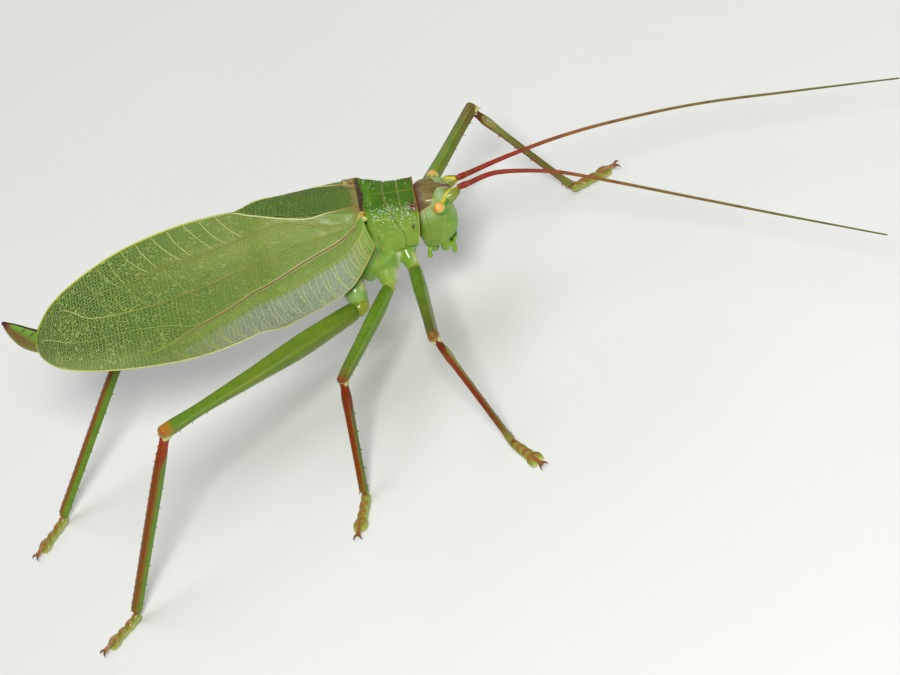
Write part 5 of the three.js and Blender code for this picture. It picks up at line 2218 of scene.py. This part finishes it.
def long_ends(node: str, towards: Array) -> tuple[Array, Array]:
    """The two end poles of a long solid, the one nearer to a place first.

    Args:
        node: the solid's name in the frame.
        towards: the place, in row millimetres.

    Returns:
        The near end and the far end.
    """
    points = solid_points(node)
    centred = points - points.mean(axis=0)
    _, vectors = np.linalg.eigh(centred.T @ centred)
    along = centred @ vectors[:, -1]
    ends = points[np.argmin(along)], points[np.argmax(along)]
    if np.linalg.norm(ends[0] - towards) > np.linalg.norm(ends[1] - towards):
        return ends[1], ends[0]
    return ends


@dataclass(frozen=True)
class LegPlan:
    """Sizes and colours of one pair of legs.

    Fields: base, belly, waist and knee are the femur's half depths; flatness its width to depth at
    the root; lead the solid's start beyond the hip joint; shin the tibia's half depths at its
    head, swelling, shaft and ankle; thigh_spines and shin_spines counts in a row; spine their
    length; back and front the femur's colours above and below; red and green the tibia's colours
    above and below split, a height from -1 to 1 across it; cap where the head's own colour ends;
    ear says whether it has an ear, and dense whether thorns line the upper keels.
    """

    base: float
    belly: float
    waist: float
    knee: float
    flatness: float
    lead: float
    shin: tuple[float, float, float, float]
    thigh_spines: int
    shin_spines: int
    spine: float
    back: Stops
    front: Stops
    red: Stops
    green: Stops
    split: float
    cap: float = 0.24
    ear: bool = False
    dense: bool = False


PLANS = {
    "fore": LegPlan(
        0.74, 0.8, 0.66, 0.68, 0.95, 0.5, (0.42, 0.52, 0.4, 0.44), 4, 6, 0.42,
        back=((0, 92, 126, 38), (0.45, 95, 122, 42), (0.75, 90, 106, 40), (0.95, 98, 88, 38), (1, 128, 88, 42)),
        front=((0, 124, 148, 60), (0.35, 103, 122, 48), (0.7, 104, 108, 48), (0.95, 98, 84, 38), (1, 120, 84, 42)),
        red=((0, 132, 42, 24), (0.09, 112, 32, 21), (0.13, 110, 57, 36), (0.2, 124, 55, 30), (0.65, 118, 46, 25),
             (0.85, 110, 80, 40), (1, 133, 135, 80)),
        green=((0, 91, 40, 27), (0.09, 87, 57, 34), (0.16, 120, 124, 68), (0.6, 106, 99, 59), (0.85, 114, 106, 57),
               (1, 125, 127, 66)),
        split=-0.5, ear=True,
    ),
    "mid": LegPlan(
        0.72, 0.84, 0.7, 0.64, 0.92, 0.55, (0.48, 0.54, 0.47, 0.43), 4, 6, 0.4,
        back=((0, 98, 132, 38), (0.8, 94, 122, 42), (0.93, 101, 101, 43), (1, 125, 60, 30)),
        front=((0, 100, 132, 46), (0.8, 98, 124, 43), (0.95, 108, 108, 47), (1, 136, 125, 72)),
        red=((0, 129, 50, 16), (0.1, 115, 43, 14), (0.3, 122, 50, 9), (0.85, 126, 63, 14), (1, 120, 93, 29)),
        green=((0, 120, 43, 31), (0.14, 101, 60, 45), (0.24, 89, 93, 57), (0.6, 84, 107, 43), (1, 96, 119, 43)),
        split=0.6,
    ),
    "hind": LegPlan(
        1.05, 1.34, 0.7, 0.82, 0.78, 0.9, (0.54, 0.6, 0.6, 0.54), 6, 22, 0.26,
        back=((0, 100, 126, 38), (0.4, 100, 126, 35), (0.93, 94, 126, 37), (0.97, 159, 115, 33), (1, 164, 100, 33)),
        front=((0, 113, 138, 48), (0.3, 102, 127, 38), (0.93, 90, 121, 38), (1, 126, 134, 67)),
        red=((0, 153, 57, 15), (0.08, 142, 51, 11), (0.2, 126, 62, 11), (0.7, 126, 73, 17), (1, 124, 89, 26)),
        green=((0, 147, 95, 41), (0.1, 124, 113, 59), (0.2, 98, 127, 46), (0.6, 95, 131, 37), (1, 100, 133, 39)),
        split=0.46, cap=0.12, dense=True,
    ),
}


# Lobed pads of a foot: places along it, half widths, sole heights, top heights, and notch.
PADS = (
    ((-0.3, 0.0, 0.45, 0.95), (0.3, 0.45, 0.5, 0.44), (0.35, 0.14, 0.02, 0.04), (0.98, 1.08, 1.04, 0.8), 0.12),
    ((0.7, 0.95, 1.45, 2.0), (0.28, 0.5, 0.58, 0.5), (0.1, 0, 0, 0), (0.72, 0.96, 0.88, 0.56), 0.2),
    ((1.75, 2.05, 2.5, 3.05), (0.28, 0.5, 0.6, 0.56), (0.1, 0, 0, 0), (0.6, 0.82, 0.82, 0.56), 0.24),
    ((2.8, 3.1, 3.7, 4.3), (0.3, 0.6, 0.86, 0.74), (0.08, 0, 0, 0), (0.58, 0.78, 0.74, 0.42), 0.46),
)
PAD_COLOURS = ((0, 140, 110, 56), (0.25, 126, 140, 58), (0.8, 134, 146, 62), (1, 170, 178, 104))
CLAW_JOINT = (
    (3.4, 3.9, 4.6, 5.1, 5.35), (0.16, 0.18, 0.2, 0.26, 0.2), (0.42, 0.36, 0.24, 0.14, 0.2),
    (0.78, 0.84, 0.7, 0.66, 0.56), 0.0,
)
CLAW_JOINT_COLOURS = ((0, 126, 140, 58), (0.3, 150, 104, 54), (0.8, 146, 88, 44), (1, 132, 72, 36))


@dataclass
class Leg:
    """One leg over its solids: trochanter and femur, tibia, and the jointed foot."""

    pair: str
    side: Side

    def __post_init__(self) -> None:
        """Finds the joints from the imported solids: the knee is where femur and tibia lines meet."""
        self.name = f"{self.pair}_{self.side.word}"
        self.plan = PLANS[self.pair]
        self.coxa_start, self.coxa_end = HIPS[self.pair].ends(self.side)
        thigh_start, self.thigh_end = long_ends(f"femur_{self.name}", BODY.row(self.coxa_end))
        shin_start, self.ankle = long_ends(f"tibia_{self.name}", self.thigh_end)
        self.ahead, self.down = unit(self.thigh_end - thigh_start), unit(self.ankle - shin_start)
        self.hip = thigh_start - self.ahead * self.plan.lead
        self.knee = self.thigh_end - self.ahead * self.plan.knee
        self.rise = unit(-(self.down - (self.down @ self.ahead) * self.ahead))
        self.shin_rise = unit(self.ahead - (self.ahead @ self.down) * self.down)
        foot = solid_points(f"tarsus_{self.name}")
        self.heading = unit((foot.mean(axis=0) - self.ankle) * np.array([1, 1, 0]))

    def femur(self) -> Surface:
        """A bar swollen near its root and cheeked at the knee, with a furrow between two keels
        beneath, thorns on the keels, and the ring-shaped trochanter at the hip."""
        plan, knee = self.plan, self.plan.knee
        count, around = 190, 44
        share, angle = end_loaded(count), turn(around)
        start = self.hip + self.ahead * plan.lead * 0.2
        length = float(np.linalg.norm(self.thigh_end - start))
        path = start + (self.thigh_end - start) * share[:, None]
        deep = through([
            (0, plan.base * 0.78), (0.05, plan.base), (0.27, plan.belly),
            (0.55, plan.waist + 0.4 * (plan.belly - plan.waist)), (0.82, plan.waist), (0.95, knee), (1, knee * 0.94),
        ], share)
        wide = deep * through([(0, 0.95), (0.2, plan.flatness), (0.8, 0.96), (1, 0.92)], share)
        below = np.degrees(np.abs(np.mod(angle + 1.5 * math.pi, FULL_TURN) - math.pi))
        keeled = ease(share, 0.06, 0.3)[:, None]
        section = 1 + keeled * (
            0.07 * hill(below, 30, 9) + 0.05 * hill(below, 180, 16) - 0.26 * hill(below, 0, 17)
            - 0.035 * hill(below, 120, 18)
        )
        section = section * rounding(share, length, plan.base * 0.9, knee * 0.45)[:, None]
        s, up = lattice(share, np.sin(angle))
        paint = layered(
            ramp(plan.front, s), (ramp(plan.back, s), ease(up, -0.45, 0.25)),
            ((176, 190, 100), 0.26 * hill(below, 118, 7) * window(s, 0.05, 0.12, 0.9, 0.97)),
            ((160, 176, 88), 0.36 * hill(below, 30, 8) * keeled),
            ((196, 186, 120), 0.55 * hill(s, 0.985, 0.014) * ease(-up, -0.2, 0.4)),
        )
        across = unit(np.cross(self.rise, self.ahead))
        lift = -0.16 * deep * fall(share, 0.5, 0.9)
        wide, tall = wide[:, None] * section, deep[:, None] * section
        cheeks = [lump(
            self.knee + knee * (0.3 * self.ahead - 0.5 * self.rise + 0.56 * sign * across),
            self.ahead - 0.4 * self.rise, self.rise, (knee * 0.72, knee * 0.3, knee * 0.5), (196, 194, 142),
        ) for sign in (-1, 1)]
        return joined([
            tube(path, self.rise, wide, tall, around, paint, 0.94, lift), *cheeks, self.trochanter(),
            self.thigh_thorns(path, across, deep),
        ])

    def trochanter(self) -> Surface:
        """The short bent ring between coxa and femur."""
        root = BODY.row(self.coxa_end + 0.15 * (self.coxa_start - self.coxa_end))
        points = [root, self.hip + (self.hip - root) * 0.1, self.hip + self.ahead * self.plan.lead * 1.1]
        share = np.linspace(0, 1, 26)
        girth = self.plan.base * through([(0, 0.72), (0.3, 0.86), (0.6, 0.98), (0.8, 0.88), (1, 0.8)], share)
        girth = girth * rounding(share, 2.0, 0.3, 0.3)
        shade = ramp([(0, 150, 166, 84), (0.4, 170, 180, 76), (0.75, 140, 150, 60), (1, 120, 146, 56)], share)
        return tube(evenly(points, len(share)), self.rise, girth, girth, 24, shade)

    def thigh_thorns(self, path: Array, across: Array, deep: Array) -> Surface:
        """Pale thorns along both keels of the femur's outer half.

        Args:
            path: the femur's centres.
            across: direction to its side.
            deep: its half depth at each centre.

        Returns:
            The thorns.
        """
        at, marks = np.linspace(0.5, 0.93, self.plan.thigh_spines + 2), np.linspace(0, 1, len(path))
        place, depth = read(at, marks, path), np.interp(at, marks, deep)[:, None]
        roots = [place - self.rise * depth * 0.86 + across * sign * depth * 0.42 for sign in (-1, 1)]
        ways = [
            np.broadcast_to(unit(across * sign * 0.35 - self.rise * 0.9 + self.ahead * 0.45), place.shape)
            for sign in (-1, 1)
        ]
        height = np.full(2 * len(at), 0.42)
        return spikes(np.concatenate(roots), np.concatenate(ways), height, 0.13, (214, 214, 180))

    def tibia(self) -> Surface:
        """A slender four-keeled bar with a bent head, rows of thorns, end spurs, and on the fore
        legs an oval ear on each side below the knee."""
        plan = self.plan
        head, swell, shaft, ankle = plan.shin
        count, around = 230, 40
        share, angle = end_loaded(count), turn(around)
        start = self.knee + self.down * 0.12
        length = float(np.linalg.norm(self.ankle - start))
        path = start + (self.ankle - start) * share[:, None]
        deep = through([
            (0, head * 0.9), (0.03, head), (0.06, head * 0.94), (0.15, swell), (0.3, shaft), (0.9, shaft * 0.92),
            (0.97, ankle * 1.04), (1, ankle * 0.9),
        ], share)
        wide = deep * through([(0, 0.9), (0.1, 0.95), (0.3, 1.0), (1, 1.0)], share)
        corner = np.abs(np.mod(np.degrees(angle), 90) - 45)
        keeled = ease(share, 0.1, 0.25)[:, None]
        section = 1 + keeled * (0.07 * hill(corner, 0, 12) - 0.05 * hill(corner, 45, 16))
        s, up = lattice(share, np.sin(angle))
        aside = np.cos(angle)
        height = up + 1.8 * fall(s, plan.cap - 0.1, plan.cap + 0.08)
        if plan.ear:
            height = aside * self.side.value + 0 * up
        keel_line = 0.2 * hill(corner, 0, 7) * keeled * ease(up, -0.9, 0.0)
        paint = layered(
            ramp(plan.green, s), (ramp(plan.red, s), ease(height, plan.split - 0.2, plan.split + 0.2)),
            ((176, 150, 96), keel_line),
        )
        sunk = 0.0
        if plan.ear:
            oval = hill(s, 0.155, 0.036) * hill(up, 0.05, 0.42) * ease(np.abs(aside), 0.55, 0.8)
            rim = hill(np.hypot((s - 0.155) / 0.058, (up - 0.05) / 0.66), 1.0, 0.16)
            rim = rim * ease(np.abs(aside), 0.4, 0.7)
            streaks = ease(np.sin(up * 30), 0.2, 0.8) * oval
            paint = layered(
                paint, ((168, 162, 142), 0.75 * oval), ((70, 44, 34), 0.6 * streaks), ((168, 150, 100), 0.7 * rim),
            )
            sunk = 0.08 * rim - 0.3 * oval
        blunt = rounding(share, length, head * 0.8, ankle * 0.6)[:, None]
        broad, tall = wide[:, None] * (section + sunk) * blunt, deep[:, None] * section * blunt
        bar = tube(path, self.shin_rise, broad, tall, around, paint, 0.9)
        return joined([bar, self.shin_thorns(start, share, deep)])

    def shin_thorns(self, start: Array, share: Array, deep: Array) -> Surface:
        """Brown thorns in rows along the tibia, and four spurs round its end.

        Args:
            start: the tibia's first centre.
            share: shares along it.
            deep: half depth at those shares.

        Returns:
            The thorns.
        """
        plan = self.plan
        across = unit(np.cross(self.shin_rise, self.down))
        roots, ways, sizes = [], [], []
        rows = [(degrees, max(5, plan.shin_spines // 3), 0.3, 1.3 if plan.dense else 1.0) for degrees in (218, 142)]
        if plan.dense:
            rows = [(degrees, plan.shin_spines, 0.08, 1.0) for degrees in (38, -38)] + rows
        for degrees, number, first, size in rows:
            at = np.linspace(first, 0.94, number)
            radial = wheel(math.radians(degrees), self.shin_rise, across)
            place = start + (self.ankle - start) * at[:, None]
            roots.append(place + radial * np.interp(at, share, deep)[:, None] * 0.93)
            ways.append(np.broadcast_to(unit(radial + self.down * 0.75), place.shape))
            sizes.append(np.full(number, plan.spine * size))
        for degrees in (35, -35, 145, -145):
            radial = wheel(math.radians(degrees), self.shin_rise, across)
            roots.append((self.ankle - self.down * 0.35 + radial * plan.shin[-1] * 0.85)[None])
            ways.append(unit(radial * 0.6 + self.down)[None])
            sizes.append(np.full(1, plan.spine * 1.25))
        return spikes(np.concatenate(roots), np.concatenate(ways), np.concatenate(sizes), 0.1, (150, 82, 40))

    def foot_point(self, place: Array) -> Array:
        """Foot coordinates (along the heading, to its left, up from the floor) to row ones.

        Args:
            place: foot coordinates in the last axis.

        Returns:
            Row points.
        """
        left = np.array([-self.heading[1], self.heading[0], 0.0])
        frame_ways = np.stack([self.heading, left, [0.0, 0.0, 1.0]])
        return self.ankle * np.array([1, 1, 0]) + place @ frame_ways

    def pad(
        self, at: Sequence[float], wide: Sequence[float], under: Sequence[float], over: Sequence[float],
        notch: float, top: Stops, squared: float = 1.45,
    ) -> Surface:
        """One joint of the foot: flat below and domed above, with side lobes that reach forward.

        Args:
            at: places along the foot of the stops.
            wide: half width at each stop.
            under: height of the sole at each stop.
            over: height of the top at each stop.
            notch: how far the side lobes reach beyond the middle at the far end.
            top: colours along the joint.
            squared: how far the sole is flattened.

        Returns:
            The joint.
        """
        share, angle = end_loaded(34), turn(32)
        x = at[0] + (at[-1] - at[0]) * share
        half, low, high = (through(list(zip(at, stops)), x)[:, None] for stops in (wide, under, over))
        sine, lobe = np.sin(angle), np.abs(np.cos(angle))
        s, rise = lattice(share, np.where(sine < 0, np.maximum(-1, sine * squared), sine))
        end = rounding(share, at[-1] - at[0], 0.16, 0.16)[:, None]
        z = (low + high) / 2 + (high - low) / 2 * rise * end
        forward = notch * ease(s, 0.45, 1.0) * (lobe**1.5 - 0.35)
        droop = 0.12 * notch * ease(lobe, 0.5, 1.0) * ease(s, 0.6, 1.0)
        grid = np.stack([x[:, None] + forward, half * np.cos(angle) * end, np.maximum(z - droop, 0.0)], axis=-1)
        paint = layered(
            ramp(top, s), ((196, 202, 150), 0.6 * hill(rise, -0.25, 0.4) * ease(lobe, 0.6, 0.95)),
            ((150, 80, 36), 0.8 * ease(rise, 0.45, 0.9) * hill(s, 0.5, 0.36)),
            ((150, 130, 84), 0.5 * fall(rise, -0.9, -0.5)),
        )
        return shell(self.foot_point(grid), paint)

    def tarsus(self) -> Surface:
        """Four lobed pads, the thin claw joint rising from the last, and two curved claws."""
        parts = [self.pad(*pad, PAD_COLOURS) for pad in PADS]
        parts.append(self.pad(*CLAW_JOINT, CLAW_JOINT_COLOURS, 1.0))
        share = np.linspace(0, 1, 20)
        girth = through([(0, 0.13), (0.3, 0.12), (1, 0.02)], share) * rounding(share, 1.0, 0.08, 0.04)
        paint = ramp([(0, 150, 96, 50), (0.5, 104, 58, 32), (1, 40, 22, 16)], share)
        claw = np.array([[5.1, 0.1, 0.42], [5.38, 0.26, 0.52], [5.62, 0.42, 0.4], [5.72, 0.5, 0.1]])
        for sign in (-1, 1):
            path = self.foot_point(evenly(claw * [1, sign, 1], len(share)))
            parts.append(tube(path, self.heading, girth, girth, 12, paint))
        return joined(parts)


# ---------------------------------------------------------------- the studio
@dataclass(frozen=True)
class Viewpoint:
    """The camera, aimed at the floor below the wings' root.

    Fields: elevation, azimuth and roll are degrees: how high and how far round it stands, and how
    it is tilted; distance is in millimetres; focal length and aim, which turns it off its target
    to the right and down, are in 900ths of the frame's width.
    """

    elevation: float = 38.0
    azimuth: float = 17.0
    roll: float = 38.0
    distance: float = 560.0
    focal: float = 5208.0
    aim: tuple[float, float] = (-11.0, 18.5)
    sensor: float = 36.0

    def place(self) -> None:
        """Makes the camera. Its axes are turned from the plain viewing axes by the roll, and its
        line of sight is then shifted so that the framing needs no lens shift."""
        e, a, r = (math.radians(v) for v in (self.elevation, self.azimuth, self.roll))
        back = np.array([math.sin(a) * math.cos(e), -math.cos(a) * math.cos(e), math.sin(e)])
        plain_right = unit(np.cross([0.0, 0.0, 1.0], back))
        plain_up = np.cross(back, plain_right)
        right, up = wheel(r, plain_right, -plain_up), wheel(r, plain_up, plain_right)
        away = unit(back - right * self.aim[0] / self.focal + up * self.aim[1] / self.focal)
        right = unit(np.cross(up, away))
        data = bpy.data.cameras.new("viewpoint")
        data.sensor_width = self.sensor
        data.lens = self.focal * self.sensor / 900
        data.clip_start, data.clip_end = 0.01, 20.0
        made = bpy.data.objects.new("viewpoint", data)
        axes = np.stack([right, np.cross(away, right), away, (back * self.distance + BODY.shift) * MM], axis=1)
        made.matrix_world = Matrix([*axes.tolist(), [0, 0, 0, 1]])
        bpy.context.scene.collection.objects.link(made)
        bpy.context.scene.camera = made


@dataclass(frozen=True)
class SoftBox:
    """A round area light: where it hangs and its size in metres, its power and its tint."""

    name: str
    place: Tint
    size: float
    power: float
    tint: Tint = (1.0, 1.0, 1.0)

    def hang(self) -> None:
        """Makes the light, turned to the object."""
        data = bpy.data.lights.new(self.name, "AREA")
        data.shape = "DISK"
        data.size = self.size
        data.energy = self.power
        data.color = self.tint
        made = bpy.data.objects.new(self.name, data)
        made.location = self.place
        made.rotation_euler = (-Vector(self.place)).to_track_quat("-Z", "Y").to_euler()
        bpy.context.scene.collection.objects.link(made)


@dataclass(frozen=True)
class Studio:
    """A pale floor, an even pale surround and three soft lights."""

    reach: float = 1.5
    steps: int = 9
    lights: tuple[SoftBox, ...] = (
        SoftBox("key", (0.1, -0.34, 0.4), 0.14, 2.15, (1.0, 0.99, 0.96)),
        SoftBox("top", (-0.05, 0.12, 0.55), 0.4, 0.95),
        SoftBox("rim", (-0.35, 0.45, 0.28), 0.25, 0.5),
    )

    def build(self) -> None:
        """Makes the floor, the surround and the lights."""
        edge = np.linspace(-self.reach, self.reach, self.steps)
        x, y = lattice(edge, edge)
        index = np.arange(self.steps**2).reshape(self.steps, self.steps)
        mesh = bpy.data.meshes.new("floor")
        mesh.from_pydata(np.stack([x, y, 0 * x], axis=-1).reshape(-1, 3).tolist(), [], quads(index).tolist())
        mesh.materials.append(StudioFloor().material())
        floor = bpy.data.objects.new("floor", mesh)
        bpy.context.scene.collection.objects.link(floor)
        world = bpy.data.worlds.new("surround")
        world.use_nodes = True
        world.node_tree.nodes.clear()
        graph = Graph(world.node_tree)
        sky = graph.node("Background", {"Color": (0.86, 0.9, 0.92), "Strength": 0.2})
        graph.node("OutputWorld", {"Surface": sky.outputs[0]})
        bpy.context.scene.world = world
        bpy.context.scene.view_settings.view_transform = "Standard"
        for light in self.lights:
            light.hang()


# ---------------------------------------------------------------- the whole animal
ROUTES = {
    Side.LEFT: (
        (14.7, 1.8, 15.3), (20.3, 2.4, 13.9), (26.4, 2.3, 12.3), (35.1, 0.2, 10.9), (45.5, -4.2, 9.8),
        (55.8, -9, 9),
    ),
    Side.RIGHT: (
        (13.2, -0.7, 16), (17.6, -1.8, 14.2), (21.3, -3.6, 12.5), (32, -12, 9.4), (39.9, -19.4, 8.4),
        (49.5, -29, 8),
    ),
}

PLATE = Cuticle("plate", patch=1.1, mottle=0.2, grain=4.0, relief=0.3, coat=0.12, coat_rough=0.2)
FACE = Cuticle("face", patch=1.1, mottle=0.16, grain=4.0, relief=0.16, rough=0.34, coat=0.16, coat_rough=0.12)
SKIN = Cuticle(
    "skin", patch=1.0, mottle=0.14, grain=2.2, relief=0.5, pits=0.3, rough=0.32, coat=0.6, coat_rough=0.08,
    glow=0.3, depth=0.0006,
)
BELLY = Cuticle("belly", patch=1.0, mottle=0.2, grain=5.0, relief=0.3, rough=0.42, coat=0.15)
LIMB = Cuticle(
    "limb", patch=0.7, mottle=0.2, grain=8.0, relief=0.06, pits=0.0, rough=0.3, coat=0.25, coat_rough=0.1,
    glow=0.1, shine=0.25,
)
SHIN = Cuticle(
    "shin", patch=0.8, mottle=0.2, grain=3.5, relief=0.1, pits=0.2, rough=0.3, coat=0.16, coat_rough=0.09,
    glow=0.0, shine=0.14,
)
FOOT = Cuticle("foot", patch=1.6, mottle=0.25, grain=5.0, relief=0.3, rough=0.34, coat=0.3, coat_rough=0.12, glow=0.15)
FEELER = Cuticle("feeler", patch=1.2, mottle=0.2, relief=0.2, rough=0.45, coat=0.08, glow=0.0, shine=0.16)
BLADE = Cuticle("blade", mottle=0.2, grain=4.0, relief=0.2, rough=0.28, coat=0.25, coat_rough=0.1, glow=0.05)
HINGE = Cuticle("hinge", patch=1.8, mottle=0.3, grain=4.0, relief=0.4, rough=0.34, coat=0.4)
RIB = Cuticle("rib", patch=1.4, mottle=0.12, grain=5.0, relief=0.1, rough=0.46, coat=0.08, glow=0.0)
GAUZE = Cuticle("gauze", patch=1.0, mottle=0.15, grain=5.0, relief=0.2, rough=0.4, coat=0.1, glow=0.3)


def build_body() -> None:
    """Trunk, head, saddle, belly and their small parts."""
    coxae = [f"coxa_{pair}_{side.word}" for pair in HIPS for side in Side]
    install("trunk_skin", Trunk().surface(), SKIN, "flesh", "thorax", "prothorax", *coxae)
    install("skull", Head().surface(), FACE, "cuticle", "head")
    mouth, belly = Mouth(), Abdomen()
    install("mouth_parts", mouth.jaws(), FACE, "cuticle", "jaws")
    install("saddle", Pronotum().surface(), PLATE, "pronotum", "pronotum")
    install("wing_roots", WingRoots().surface(), HINGE, "cuticle")
    rings = [f"abdomen_{part}" for part in ("front", "middle", "rear")]
    install("belly_rings", belly.surface(), BELLY, "abdomen", *rings)
    install("sickle", Ovipositor().surface(), BLADE, "ovipositor", "ovipositor")
    for side in Side:
        word = side.word
        install(f"outer_palp_{word}", mouth.maxillary(side), FACE, "cuticle", f"maxillary_palp_{word}")
        install(f"inner_palp_{word}", mouth.labial(side), FACE, "cuticle", f"labial_palp_{word}")
        install(f"facets_{word}", Eye(side).surface(), FacetEye(), "eye", f"eye_{word}")
        install(f"tail_feeler_{word}", belly.cercus(side), BELLY, "abdomen", f"cercus_{word}")


def build_wings() -> None:
    """Both pairs of wings."""
    for side in Side:
        word, wing = side.word, Tegmen(side)
        install(f"leaf_wing_{word}", wing.surface(), LeafWing(), "tegmen", f"tegmen_{word}")
        install(f"wing_ribs_{word}", wing.ribs(), RIB, "tegmen")
        install(f"folded_wing_{word}", Hindwing(side).surface(), GAUZE, "hindwing", f"hindwing_{word}")


def build_feelers() -> None:
    """Both antennae."""
    for side, route in ROUTES.items():
        word = side.word
        nodes = [f"scape_{word}"] + [f"antenna_{word}_{part}" for part in ("base", "middle", "tip")]
        install(f"feeler_{word}", Antenna(side, route).surface(), FEELER, "antenna", *nodes)


def build_legs() -> None:
    """All six legs."""
    for pair in HIPS:
        for side in Side:
            leg = Leg(pair, side)
            install(f"thigh_{leg.name}", leg.femur(), LIMB, "femur", f"femur_{leg.name}")
            install(f"shin_{leg.name}", leg.tibia(), SHIN, "tibia", f"tibia_{leg.name}")
            install(f"foot_{leg.name}", leg.tarsus(), FOOT, "tarsus", f"tarsus_{leg.name}")


def main() -> None:
    """Builds the animal, the studio and the camera."""
    logging.basicConfig(level=logging.INFO, format="%(name)s %(message)s")
    build_body()
    build_wings()
    build_feelers()
    build_legs()
    Studio().build()
    Viewpoint().place()


if __name__ == "__main__":
    main()
